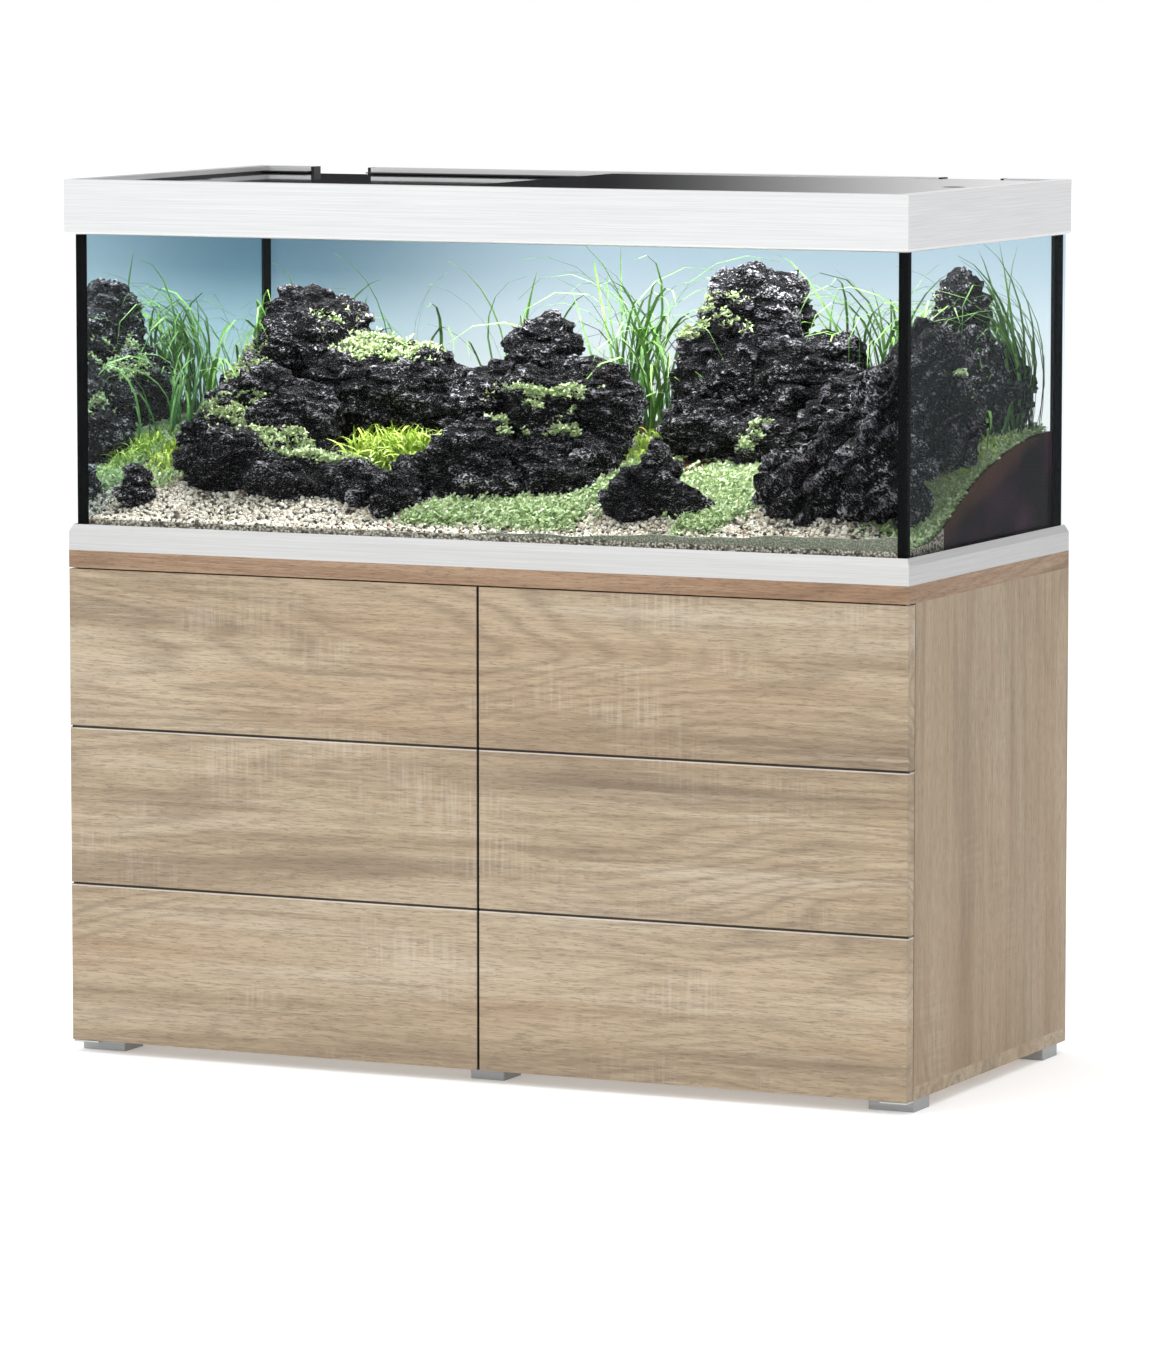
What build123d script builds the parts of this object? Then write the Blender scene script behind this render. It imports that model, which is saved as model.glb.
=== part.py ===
"""Aquarium on a two-door cabinet: wooden stand, framed glass tank, open hood with sliding covers.

X runs along the length, Y from the front to the back, Z up. The origin is on the floor, at the
middle of the footprint. All sizes are in millimetres.
"""

import os
from math import cos, radians, sin

from build123d import *

os.makedirs("parts", exist_ok=True)

# Overall sizes
length = 1300
depth = 600
foot_height = 17
cabinet_height = 710
tank_glass_height = 473
hood_height = 78
hood_front_overhang = 8

# Cabinet boards
board = 19
top_board = 25
back_board = 8
back_inset = 10
shelf_height = 330
shelf_setback = 40
door_thickness = 22
door_carcass_gap = 2
door_top_gap = 2
door_bottom_gap = 1
door_middle_gap = 3
door_edge_chamfer = 0.8
groove_width = 2.5
groove_depth = 3
groove_side_depth = 2
groove_heights = (229, 456)
service_width = 300
service_height = 160
service_corner = 20

# Feet
foot_width = 68
middle_foot_width = 52
foot_depth = 56
foot_setback = 30
foot_side_inset = 1
foot_chamfer = 1

# Door pivots
pivot_side = 6
pivot_from_front = 10
pin_radius = 3
pin_clearance = 0.05
pin_hole_clearance = 0.4
pin_length = 9
leaf_length = 60
leaf_width = 16
leaf_thickness = 2.5
leaf_side = 1
bracket_thickness = 2.2
bracket_length = 40
bracket_lip = 7
washer_radius = 6
washer_thickness = 0.8

# Push latches
latch_from_middle = 22
latch_width = 14
latch_height = 24
latch_axis_drop = 16
latch_length = 74
plunger_radius = 4
plunger_clearance = 0.2
plunger_length = 38
plunger_travel = 3
plunger_gap = 0.3
plunger_end_room = 1.5
strike_radius = 8
strike_thickness = 1.2

# Cabinet screws
screw_radius = 2
screw_head_radius = 4
screw_head_height = 2
screw_length = 16
screw_clearance = 0.1
foot_screw_spacing = 32
foot_screw_length = 24
middle_screw_spacing = 36
bracket_screw_spacing = 20
latch_screw_spacing = 18
latch_screw_length = 36

# Tank
glass = 10
glass_inset = 6
mat_thickness = 5
bottom_glass = 12
joint = 1
bead = 8
brace_width = 60
brace_thickness = 8
brace_below_top = 17
cross_brace_width = 120
film_thickness = 0.4
frame_thickness = 5.5
frame_height = 37
frame_bevel_height = 10.5
frame_bevel_width = 5

# Hood
rail_wall = 2.5
rail_width = 22
rail_lip = 5.5
rail_round = 5
ledge_width = 40
ledge_height = 26
mitre_chamfer = 0.4
cutout_from_side = 95
cutout_width = 100
cutout_floor = 31
cap_thickness = 5
corner_bracket_leg = 50
corner_bracket_width = 16
corner_bracket_thickness = 3

# Cover tracks and covers
track_wall = 2.4
track_shelf_width = 15
track_floor = 60.5
track_floor_thickness = 2.6
track_fin_thickness = 1.6
cover_thickness = 5
cover_gap = 0.3
cover_upper_gap = 1.5
cover_side_clearance = 1
cover_overlap = 92
cover_corner = 4
finger_hole_radius = 16
finger_hole_from_side = 58
track_top = 71.5

# Lamps
lamp_spacing = 210
lamp_length = 1120
lamp_width = 44
lamp_height = 14
lamp_round = 4
lamp_lens_width = 38
lamp_lens_height = 3
lamp_above_ledge = 14
lamp_cap_width = 48
lamp_cap_thickness = 15
lamp_arm_width = 20
lamp_arm_thickness = 3
lamp_arm_reach = 30

# Planting
bed_clearance = 2
bed_corner = 10
gravel_depth = 150
gravel_height = 30
soil_height = 66
plant_spread = 0.8

# Places that follow from the sizes above
side = length / 2
hood_front = -(depth + hood_front_overhang) / 2
back = hood_front + hood_front_overhang + depth
front = back - depth
carcass_front = front + door_thickness + door_carcass_gap
cabinet_top = foot_height + cabinet_height
top_underside = cabinet_top - top_board
bottom_top = foot_height + board
door_bottom = foot_height + door_bottom_gap
door_top = top_underside - door_top_gap
door_back = front + door_thickness
pivot_y = front + pivot_from_front
back_board_back = back - back_inset
back_board_front = back_board_back - back_board

glass_side = side - glass_inset
glass_front = front + glass_inset
glass_back = back - glass_inset
glass_bottom = cabinet_top + mat_thickness
glass_top = glass_bottom + tank_glass_height
inside_side = glass_side - glass
inside_front = glass_front + glass
inside_back = glass_back - glass
tank_floor = glass_bottom + bottom_glass

brace_zs = (glass_top - brace_below_top - brace_thickness, glass_top - brace_below_top)

hood_base = glass_top - ledge_height
ledge_top = glass_top + rail_wall
hood_top = hood_base + hood_height
track_side = side - rail_width
track_front = hood_front + rail_width
track_back = back - rail_width
track_floor_top = hood_base + track_floor + track_floor_thickness
lower_cover_bottom = track_floor_top + cover_gap
fin_bottom = lower_cover_bottom + cover_thickness + cover_upper_gap
fin_top = fin_bottom + track_fin_thickness
upper_cover_bottom = fin_top + cover_gap
cutout_far = side - cutout_from_side
cutout_near = cutout_far - cutout_width

on_plane = (Align.CENTER, Align.CENTER, Align.MIN)


def save(piece, name):
    """Label a finished piece and write it to its own file."""
    piece.part.label = name
    export_step(piece.part, f"parts/{name}.step")


def block(xs, ys, zs, mode=Mode.ADD):
    """Rectangular block between two limits on each axis, in the part being built."""
    low = Vector(xs[0], ys[0], zs[0])
    high = Vector(xs[1], ys[1], zs[1])
    size = high - low
    with Locations((low + high) * 0.5):
        Box(size.X, size.Y, size.Z, mode=mode)


def block_piece(xs, ys, zs):
    """A piece that is a plain block."""
    with BuildPart() as piece:
        block(xs, ys, zs)
    return piece


def rod(place, radius, reach, mode=Mode.ADD):
    """Round bar that starts on a plane and runs along its normal."""
    with Locations(place):
        Cylinder(radius, reach, align=on_plane, mode=mode)


def sunk_screw(place, reach, grow=0, mode=Mode.ADD):
    """Countersunk screw from its head's face along the plane's normal; grow makes its hole."""
    rod(place, screw_radius + grow, reach + grow, mode=mode)
    with Locations(place):
        Cone(
            screw_head_radius + grow,
            screw_radius + grow,
            screw_head_height,
            align=on_plane,
            mode=mode,
        )


def cut_screw_holes(places, reach):
    """Holes for a set of countersunk screws in the part being built."""
    for place in places:
        sunk_screw(place, reach, grow=screw_clearance, mode=Mode.SUBTRACT)


# %% Where the feet and the screws go
corner_foot_x = side - foot_side_inset - foot_width / 2
front_foot_y = front + foot_setback + foot_depth / 2
back_foot_y = back - foot_setback - foot_depth / 2
foot_widths = {-corner_foot_x: foot_width, 0: middle_foot_width, corner_foot_x: foot_width}

foot_screw_places = {"front_feet": [], "back_feet": []}
for name, foot_y in (("front_feet", front_foot_y), ("back_feet", back_foot_y)):
    for foot_x in foot_widths:
        for hand in (-1, 1):
            dx = hand * middle_screw_spacing / 2 if foot_x == 0 else 0
            dy = 0 if foot_x == 0 else hand * foot_screw_spacing / 2
            centre = (foot_x + dx, foot_y + dy, bottom_top)
            foot_screw_places[name].append(Plane(origin=centre, z_dir=(0, 0, -1)))
all_foot_screws = foot_screw_places["front_feet"] + foot_screw_places["back_feet"]

bracket_middle = side - leaf_side - bracket_length / 2
bracket_screws = []
latch_screws = []
for hand in (-1, 1):
    for step in (-1, 1):
        bracket_x = hand * (bracket_middle + step * bracket_screw_spacing / 2)
        bracket_z = (foot_height + bottom_top) / 2
        bracket_screws.append(Plane((bracket_x, carcass_front, bracket_z), z_dir=(0, 1, 0)))

latch_front = carcass_front + door_carcass_gap
latch_back = latch_front + latch_length
bore_end = door_back + plunger_gap + plunger_length + plunger_travel + plunger_end_room
latch_screw_middle = (bore_end + latch_back) / 2 + plunger_end_room
latch_bottom = top_underside - latch_height
for hand in (-1, 1):
    for step in (-1, 1):
        screw_y = latch_screw_middle + step * latch_screw_spacing / 2
        place = Plane((hand * latch_from_middle, screw_y, latch_bottom), z_dir=(0, 0, 1))
        latch_screws.append(place)


# %% Cabinet boards
with BuildPart() as top_panel:
    block((-side, side), (front, back), (top_underside, cabinet_top))
    for hand in (-1, 1):
        leaf_far = hand * (side - leaf_side)
        leaf_near = hand * (side - leaf_side - leaf_length)
        block(
            sorted((leaf_far, leaf_near)),
            (pivot_y - leaf_width / 2, pivot_y + leaf_width / 2),
            (top_underside, top_underside + leaf_thickness),
            mode=Mode.SUBTRACT,
        )
    cut_screw_holes(latch_screws, latch_screw_length)
save(top_panel, "top_panel")

with BuildPart() as bottom_panel:
    block((-side, side), (carcass_front, back), (foot_height, bottom_top))
    for hand in (-1, 1):
        edge_far = hand * (side - leaf_side)
        edge_near = hand * (side - leaf_side - bracket_length)
        block(
            sorted((edge_far, edge_near)),
            (carcass_front, carcass_front + bracket_thickness),
            (foot_height, bottom_top),
            mode=Mode.SUBTRACT,
        )
    cut_screw_holes(all_foot_screws, foot_screw_length)
    cut_screw_holes(bracket_screws, screw_length)
save(bottom_panel, "bottom_panel")

upright = (bottom_top, top_underside)
for name, xs, panel_back in (
    ("left_side_panel", (-side, -side + board), back),
    ("right_side_panel", (side - board, side), back),
    ("centre_partition", (-board / 2, board / 2), back_board_front),
):
    save(block_piece(xs, (carcass_front, panel_back), upright), name)

for name, xs in (
    ("left_back_panel", (-side + board, 0)),
    ("right_back_panel", (0, side - board)),
):
    middle = sum(xs) / 2
    way = (middle - service_width / 2, middle + service_width / 2)
    with BuildPart() as back_panel:
        block(xs, (back_board_front, back_board_back), upright)
        block(
            way,
            (back_board_front, back_board_back),
            (top_underside - service_height, top_underside),
            mode=Mode.SUBTRACT,
        )
        inner_corners = [
            edge
            for edge in back_panel.edges().filter_by(Axis.Y)
            if way[0] - 1 < edge.center().X < way[1] + 1 and edge.center().Z < top_underside - 1
        ]
        fillet(inner_corners, service_corner)
    save(back_panel, name)

shelf_front = carcass_front + shelf_setback
shelf_xs = (board / 2 + joint, side - board - joint)
shelf_zs = (foot_height + shelf_height, foot_height + shelf_height + board)
save(block_piece(shelf_xs, (shelf_front, back_board_front - joint), shelf_zs), "shelf")

with BuildPart() as shelf_pins:
    for y in (shelf_front + shelf_setback, back_board_front - shelf_setback):
        for x, turn in ((board / 2, 1), (side - board, -1)):
            bar = Plane((x, y, shelf_zs[0] - screw_radius), z_dir=(turn, 0, 0))
            rod(bar, screw_radius, screw_head_radius * 2)
save(shelf_pins, "shelf_pins")


# %% Feet and screws
for name, foot_y in (("front_feet", front_foot_y), ("back_feet", back_foot_y)):
    with BuildPart() as feet:
        for foot_x, width in foot_widths.items():
            with BuildSketch(Plane((foot_x, foot_y, 0))):
                Rectangle(width, foot_depth)
            extrude(amount=foot_height)
        chamfer(feet.edges().filter_by(Axis.Z), foot_chamfer)
        for place in foot_screw_places[name]:
            hole = foot_screw_length + screw_clearance
            rod(place, screw_radius + screw_clearance, hole, mode=Mode.SUBTRACT)
    save(feet, name)

with BuildPart() as cabinet_screws:
    for place in all_foot_screws:
        sunk_screw(place, foot_screw_length)
    for place in bracket_screws:
        sunk_screw(place, screw_length)
    for place in latch_screws:
        sunk_screw(place, latch_screw_length)
save(cabinet_screws, "cabinet_screws")


# %% Doors and their pivots
def leaf_block(hand, zs, mode=Mode.ADD):
    """Pivot leaf, or its recess, at the outer corner of a door on one hand."""
    far = hand * (side - leaf_side)
    near = hand * (side - leaf_side - leaf_length)
    ys = (pivot_y - leaf_width / 2, pivot_y + leaf_width / 2)
    block(sorted((far, near)), ys, zs, mode=mode)


def pivot_plane(hand, z, up=1):
    """Plane on the pivot's axis at a height, facing up or down."""
    return Plane((hand * (side - pivot_side), pivot_y, z), z_dir=(0, 0, up))


top_leaf_zs = (door_top - leaf_thickness, door_top)
bottom_leaf_zs = (door_bottom, door_bottom + leaf_thickness)
pin_hole = pin_radius + pin_clearance
wood_hole = pin_radius + pin_hole_clearance
latch_z = top_underside - latch_axis_drop

for hand, name in ((-1, "left"), (1, "right")):
    outer = hand * side
    inner = hand * door_middle_gap / 2
    with BuildPart() as door:
        block(sorted((inner, outer)), (front, door_back), (door_bottom, door_top))
        for height in groove_heights:
            middle = foot_height + height
            zs = (middle - groove_width / 2, middle + groove_width / 2)
            groove = sorted((outer + hand, inner - hand))
            block(groove, (front - 1, front + groove_depth), zs, mode=Mode.SUBTRACT)
            notch = sorted((outer + hand, outer - hand * groove_side_depth))
            block(notch, (front - 1, door_back + 1), zs, mode=Mode.SUBTRACT)
        chamfer(door.edges().group_by(Axis.Y)[0], door_edge_chamfer)
        leaf_block(hand, top_leaf_zs, mode=Mode.SUBTRACT)
        leaf_block(hand, bottom_leaf_zs, mode=Mode.SUBTRACT)
        reach = pin_length + door_top_gap
        rod(pivot_plane(hand, door_top, -1), wood_hole, reach, mode=Mode.SUBTRACT)
        rod(pivot_plane(hand, door_bottom), wood_hole, reach, mode=Mode.SUBTRACT)
        strike = Plane((hand * latch_from_middle, door_back, latch_z), z_dir=(0, -1, 0))
        rod(strike, strike_radius, strike_thickness, mode=Mode.SUBTRACT)
    save(door, f"{name}_door")

    with BuildPart() as leaves:
        for zs in (top_leaf_zs, bottom_leaf_zs):
            leaf_block(hand, zs)
            place = pivot_plane(hand, zs[0])
            rod(place, pin_hole, leaf_thickness, mode=Mode.SUBTRACT)
    save(leaves, f"{name}_door_pivot_leaves")

    with BuildPart() as strike_plate:
        rod(strike, strike_radius, strike_thickness)
    save(strike_plate, f"{name}_strike_plate")

    plunger_tip = door_back + plunger_gap
    latch_axis = Plane((hand * latch_from_middle, plunger_tip, latch_z), z_dir=(0, 1, 0))
    bore_reach = bore_end - plunger_tip
    latch_xs = [hand * latch_from_middle + step * latch_width / 2 for step in (-1, 1)]
    with BuildPart() as latch_housing:
        block(latch_xs, (latch_front, latch_back), (latch_bottom, top_underside))
        bore = plunger_radius + plunger_clearance
        rod(latch_axis, bore, bore_reach, mode=Mode.SUBTRACT)
        own_screws = [place for place in latch_screws if place.origin.X * hand > 0]
        cut_screw_holes(own_screws, latch_screw_length)
    save(latch_housing, f"{name}_latch_housing")

    with BuildPart() as plunger:
        rod(latch_axis, plunger_radius, plunger_length)
        chamfer(plunger.edges().group_by(Axis.Y)[0], foot_chamfer)
    save(plunger, f"{name}_latch_plunger")

with BuildPart() as upper_pivot_leaves:
    for hand in (-1, 1):
        leaf_block(hand, (top_underside, top_underside + leaf_thickness))
        rod(pivot_plane(hand, top_underside, -1), pin_radius, pin_length + door_top_gap / 2)
save(upper_pivot_leaves, "upper_pivot_leaves")

with BuildPart() as lower_pivot_brackets:
    for hand in (-1, 1):
        xs = sorted((hand * (side - leaf_side), hand * (side - leaf_side - bracket_length)))
        wall_back = carcass_front + bracket_thickness
        block(xs, (carcass_front, wall_back), (foot_height, bottom_top))
        lip_front = pivot_y - bracket_lip
        block(xs, (lip_front, wall_back), (foot_height - bracket_thickness, foot_height))
        rod(pivot_plane(hand, foot_height), pin_radius, pin_length + door_bottom_gap)
    cut_screw_holes(bracket_screws, screw_length)
save(lower_pivot_brackets, "lower_pivot_brackets")

with BuildPart() as pivot_washers:
    for hand in (-1, 1):
        rod(pivot_plane(hand, foot_height), washer_radius, washer_thickness)
        rod(pivot_plane(hand, foot_height), wood_hole, washer_thickness, mode=Mode.SUBTRACT)
save(pivot_washers, "pivot_washers")


# %% Tank glass, its silicone and its film
wall_zs = (glass_bottom, glass_top)
long_xs = (-glass_side, glass_side)
short_ys = (inside_front + joint, inside_back - joint)
for name, xs, ys, zs in (
    ("tank_mat", long_xs, (glass_front, glass_back), (cabinet_top, glass_bottom)),
    (
        "bottom_pane",
        (-inside_side + joint, inside_side - joint),
        short_ys,
        (glass_bottom, tank_floor),
    ),
    ("front_pane", long_xs, (glass_front, inside_front), wall_zs),
    ("back_pane", long_xs, (inside_back, glass_back), wall_zs),
    ("left_pane", (-glass_side, -inside_side), short_ys, wall_zs),
    ("right_pane", (inside_side, glass_side), short_ys, wall_zs),
    ("background_film", long_xs, (glass_back, glass_back + film_thickness), wall_zs),
):
    save(block_piece(xs, ys, zs), name)

with BuildPart() as corner_silicone:
    for hand in (-1, 1):
        for pane_face, turn in ((inside_front, 1), (inside_back, -1)):
            seam = [
                (0, 0),
                (glass + bead, 0),
                (glass, bead),
                (glass, joint),
                (0, joint),
            ]
            outline = [(hand * (glass_side - u), pane_face + turn * v) for u, v in seam]
            with BuildSketch(Plane.XY.offset(tank_floor)):
                with BuildLine():
                    Polyline(*outline, close=True)
                make_face()
            extrude(amount=glass_top - tank_floor)
save(corner_silicone, "corner_silicone")

brace_side = inside_side - bead - bed_clearance
with BuildPart() as glass_braces:
    block((-brace_side, brace_side), (inside_front, inside_front + brace_width), brace_zs)
    block((-brace_side, brace_side), (inside_back - brace_width, inside_back), brace_zs)
    block(
        (-cross_brace_width / 2, cross_brace_width / 2),
        (inside_front + brace_width, inside_back - brace_width),
        brace_zs,
    )
save(glass_braces, "glass_braces")


# %% Mitred rails of the base frame and the hood
def rail_plane(start, along, base):
    """Plane at a rail's start, with x inward across the rail and y up."""
    inward = Vector(0, 0, 1).cross(along)
    return Plane(origin=(*start, base), x_dir=inward, z_dir=along)


def mitred_rail(start, end, base, section, reach, height, ease):
    """Rail with its section run from one corner to the next and both ends cut at 45 degrees."""
    run = Vector(*end) - Vector(*start)
    along = run.normalized()
    plan = Plane(origin=(*start, base), x_dir=along, z_dir=(0, 0, 1))
    with BuildPart() as rail:
        with BuildSketch(rail_plane(start, along, base)) as outline:
            section(outline)
        extrude(amount=run.length)
        with BuildSketch(plan):
            with BuildLine():
                corners = [(0, 0), (run.length, 0), (run.length - reach, reach), (reach, reach)]
                Polyline(*corners, close=True)
            make_face()
        extrude(amount=height, mode=Mode.INTERSECT)
        uprights = rail.edges().filter_by(Axis.Z)
        ends = [
            edge
            for edge in uprights
            for corner in (start, end)
            if (edge.center() - Vector(*corner, edge.center().Z)).length < ease
        ]
        chamfer(ends, ease)
    return rail


def base_frame_section(outline):
    """Flat bar with a wide bevel along its upper outer edge."""
    Rectangle(frame_thickness, frame_height, align=Align.MIN)
    bevelled = outline.vertices().filter_by(lambda v: v.X < joint and v.Y > joint)
    chamfer(bevelled, frame_bevel_height, frame_bevel_width)


def sheet_rectangle(us, vs):
    """Rectangle between two limits on each axis of the sketch."""
    with Locations(((us[0] + us[1]) / 2, (vs[0] + vs[1]) / 2)):
        Rectangle(us[1] - us[0], vs[1] - vs[0])


def hood_section(outline):
    """Hollow rail: outer wall with a turned-in lip, ledge for the glass, top flange, inner wall."""
    wall_top = hood_height - rail_wall
    sheet_rectangle((0, rail_wall), (0, hood_height))
    sheet_rectangle((0, rail_lip), (0, rail_wall))
    sheet_rectangle((0, ledge_width), (ledge_height, ledge_height + rail_wall))
    sheet_rectangle((0, rail_width), (wall_top, hood_height))
    sheet_rectangle((rail_width - rail_wall, rail_width), (track_floor, hood_height))
    outer_line = outline.vertices().group_by(Axis.X)[0].sort_by(Axis.Y)
    fillet(outer_line[0], rail_round)
    fillet(outer_line[-1], mitre_chamfer)


def ring(front_y, back_y):
    """The four sides of a rectangular ring, each with its start and end corner."""
    front_left, front_right = (-side, front_y), (side, front_y)
    back_left, back_right = (-side, back_y), (side, back_y)
    return {
        "front": (front_left, front_right),
        "right": (front_right, back_right),
        "back": (back_right, back_left),
        "left": (back_left, front_left),
    }


for name, (start, end) in ring(front, back).items():
    rail = mitred_rail(
        start, end, cabinet_top, base_frame_section, frame_thickness, frame_height, mitre_chamfer
    )
    save(rail, f"base_frame_{name}")

cutouts = [(-cutout_far, -cutout_near), (cutout_near, cutout_far)]
for name, (start, end) in ring(hood_front, back).items():
    rail = mitred_rail(
        start, end, hood_base, hood_section, ledge_width, hood_height, mitre_chamfer
    )
    if name == "back":
        with BuildPart() as notched:
            add(rail.part)
            for xs in cutouts:
                block(
                    xs,
                    (track_back - 1, back + 1),
                    (hood_base + cutout_floor, hood_top + 1),
                    mode=Mode.SUBTRACT,
                )
                block(
                    xs,
                    (back - ledge_width - 1, inside_back),
                    (glass_top - 1, ledge_top + 1),
                    mode=Mode.SUBTRACT,
                )
        rail = notched
    save(rail, f"hood_{name}_rail")

with BuildPart() as cutout_end_caps:
    for xs in cutouts:
        for x, turn in ((xs[0], 1), (xs[1], -1)):
            cap_xs = sorted((x, x + turn * cap_thickness))
            block(cap_xs, (track_back, back), (hood_base + cutout_floor, hood_top))
save(cutout_end_caps, "cutout_end_caps")

bracket_base = ledge_top + lamp_arm_thickness
with BuildPart() as hood_corner_brackets:
    for hand in (-1, 1):
        for y, turn in ((hood_front, 1), (back, -1)):
            corner_x = hand * (side - rail_wall)
            corner_y = y + turn * rail_wall
            zs = (bracket_base, bracket_base + corner_bracket_width)
            block(
                sorted((corner_x, corner_x - hand * corner_bracket_leg)),
                sorted((corner_y, corner_y + turn * corner_bracket_thickness)),
                zs,
            )
            block(
                sorted((corner_x, corner_x - hand * corner_bracket_thickness)),
                sorted((corner_y, corner_y + turn * corner_bracket_leg)),
                zs,
            )
save(hood_corner_brackets, "hood_corner_brackets")


# %% Tracks and sliding covers
def track_section():
    """Web with a floor for the lower cover and a fin for the upper one."""
    reach = track_wall + track_shelf_width
    sheet_rectangle((0, track_wall), (track_floor, track_top))
    sheet_rectangle((0, reach), (track_floor, track_floor + track_floor_thickness))
    sheet_rectangle((0, reach), (fin_bottom - hood_base, fin_top - hood_base))


def straight_track(start, along):
    """Length of track between the hood's side rails."""
    with BuildPart() as track:
        with BuildSketch(rail_plane(start, along, hood_base)):
            track_section()
        extrude(amount=2 * track_side)
    return track


save(straight_track((-track_side, track_front), Vector(1, 0, 0)), "front_cover_track")

whole_back_track = straight_track((track_side, track_back), Vector(-1, 0, 0))
with BuildPart() as back_cover_track:
    add(whole_back_track.part)
    for xs in cutouts:
        block(
            xs,
            (track_back - track_wall - track_shelf_width - 1, track_back + 1),
            (track_floor_top, hood_top),
            mode=Mode.SUBTRACT,
        )
save(back_cover_track, "back_cover_track")

with BuildPart() as side_trims:
    for hand in (-1, 1):
        xs = sorted((hand * track_side, hand * (track_side - track_wall)))
        ys = (
            track_front + track_wall + track_shelf_width,
            track_back - track_wall - track_shelf_width,
        )
        block(xs, ys, (hood_base + track_floor, hood_base + track_top))
save(side_trims, "side_trims")

cover_end = track_side - track_wall - cover_side_clearance
cover_ys = (
    track_front + track_wall + cover_side_clearance,
    track_back - track_wall - cover_side_clearance,
)
for hand, name, bottom in (
    (-1, "left_cover", lower_cover_bottom),
    (1, "right_cover", upper_cover_bottom),
):
    xs = sorted((hand * cover_end, -hand * cover_overlap / 2))
    hole = Plane((hand * (side - finger_hole_from_side), 0, bottom))
    with BuildPart() as cover:
        block(xs, cover_ys, (bottom, bottom + cover_thickness))
        fillet(cover.edges().filter_by(Axis.Z), cover_corner)
        rod(hole, finger_hole_radius, cover_thickness, mode=Mode.SUBTRACT)
    save(cover, name)


# %% Lamps on arms that rest on the hood's ledges
lamp_end = lamp_length / 2
lamp_bottom = ledge_top + lamp_above_ledge
lens_bottom = lamp_bottom - lamp_lens_height
cap_end = lamp_end + lamp_cap_thickness
lamp_rows = (-lamp_spacing / 2, lamp_spacing / 2)

with BuildPart() as lamp_bodies:
    for y in lamp_rows:
        with BuildSketch(Plane((-lamp_end, y, lamp_bottom), x_dir=(0, 1, 0), z_dir=(1, 0, 0))):
            with Locations((0, lamp_height / 2)):
                RectangleRounded(lamp_width, lamp_height, lamp_round)
        extrude(amount=lamp_length)
save(lamp_bodies, "lamp_bodies")

with BuildPart() as lamp_lenses:
    for y in lamp_rows:
        lens_ys = (y - lamp_lens_width / 2, y + lamp_lens_width / 2)
        block((-lamp_end, lamp_end), lens_ys, (lens_bottom, lamp_bottom))
save(lamp_lenses, "lamp_lenses")

with BuildPart() as lamp_end_caps:
    for y in lamp_rows:
        for hand in (-1, 1):
            xs = sorted((hand * lamp_end, hand * cap_end))
            ys = (y - lamp_cap_width / 2, y + lamp_cap_width / 2)
            block(xs, ys, (ledge_top, lamp_bottom + lamp_height + 1))
    fillet(lamp_end_caps.edges().filter_by(Axis.X), lamp_round / 2)
save(lamp_end_caps, "lamp_end_caps")

with BuildPart() as lamp_arms:
    for y in lamp_rows:
        for hand in (-1, 1):
            arm_end = side - ledge_width + lamp_arm_reach
            xs = sorted((hand * cap_end, hand * arm_end))
            ys = (y - lamp_arm_width / 2, y + lamp_arm_width / 2)
            block(xs, ys, (ledge_top, ledge_top + lamp_arm_thickness))
save(lamp_arms, "lamp_arms")


# %% Planting: gravel in front, soil behind, rocks and plants on them
bed_side = inside_side - bed_clearance
bed_front = inside_front + bed_clearance
bed_back = inside_back - bed_clearance
gravel_back = bed_front + gravel_depth
gravel_top = tank_floor + gravel_height
soil_top = tank_floor + soil_height

with BuildPart() as gravel_bed:
    block((-bed_side, bed_side), (bed_front, gravel_back), (tank_floor, gravel_top))
    chamfer(gravel_bed.edges().filter_by(Axis.Z).group_by(Axis.Y)[0], bed_corner)
save(gravel_bed, "gravel_bed")

with BuildPart() as soil_bed:
    block((-bed_side, bed_side), (gravel_back, bed_back), (tank_floor, soil_top))
    chamfer(soil_bed.edges().filter_by(Axis.Z).group_by(Axis.Y)[-1], bed_corner)
save(soil_bed, "soil_bed")


def stone(place, half_x, half_y, height, slope, turn=0, corners=7):
    """Tapered stone with a many-sided foot, standing at a place on the bed."""
    outline = []
    for step in range(corners):
        angle = radians(turn + 360 * step / corners)
        outline.append((half_x * cos(angle), half_y * sin(angle)))
    with BuildSketch(Plane(place)) as foot:
        Polygon(*outline, align=None)
    extrude(foot.sketch, amount=height, taper=slope)


# The layout fills the tank, so a stone's place and size are shares of the room it stands in
soil_depth = bed_back - gravel_back
room_height = brace_zs[0] - soil_top


def soil_stone(x, y, half_x, half_y, height, slope, turn=0, corners=7):
    """Stone on the soil, in shares of the bed's half length, the soil's depth and the height."""
    place = (x * bed_side, gravel_back + y * soil_depth, soil_top)
    sizes = (half_x * bed_side, half_y * soil_depth, height * room_height)
    stone(place, *sizes, slope, turn, corners)


def gravel_stone(x, y, half_x, half_y, height, slope, turn=0):
    """Stone on the gravel, in shares of the bed's half length, the gravel's depth and the height."""
    place = (x * bed_side, bed_front + y * gravel_depth, gravel_top)
    sizes = (half_x * bed_side, half_y * gravel_depth, height * room_height)
    stone(place, *sizes, slope, turn)


with BuildPart() as left_rocks:
    gravel_stone(-0.61, 0.62, 0.285, 0.345, 0.27, 20, turn=12)
    soil_stone(-0.7, 0.527, 0.235, 0.265, 0.73, 18, turn=30)
    soil_stone(-0.79, 0.135, 0.134, 0.11, 0.32, 18)
save(left_rocks, "left_rocks")

with BuildPart() as centre_rocks:
    soil_stone(0, 0.26, 0.166, 0.23, 0.68, 14, turn=10)
    gravel_stone(0.33, 0.62, 0.13, 0.36, 0.34, 16)
save(centre_rocks, "centre_rocks")

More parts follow.
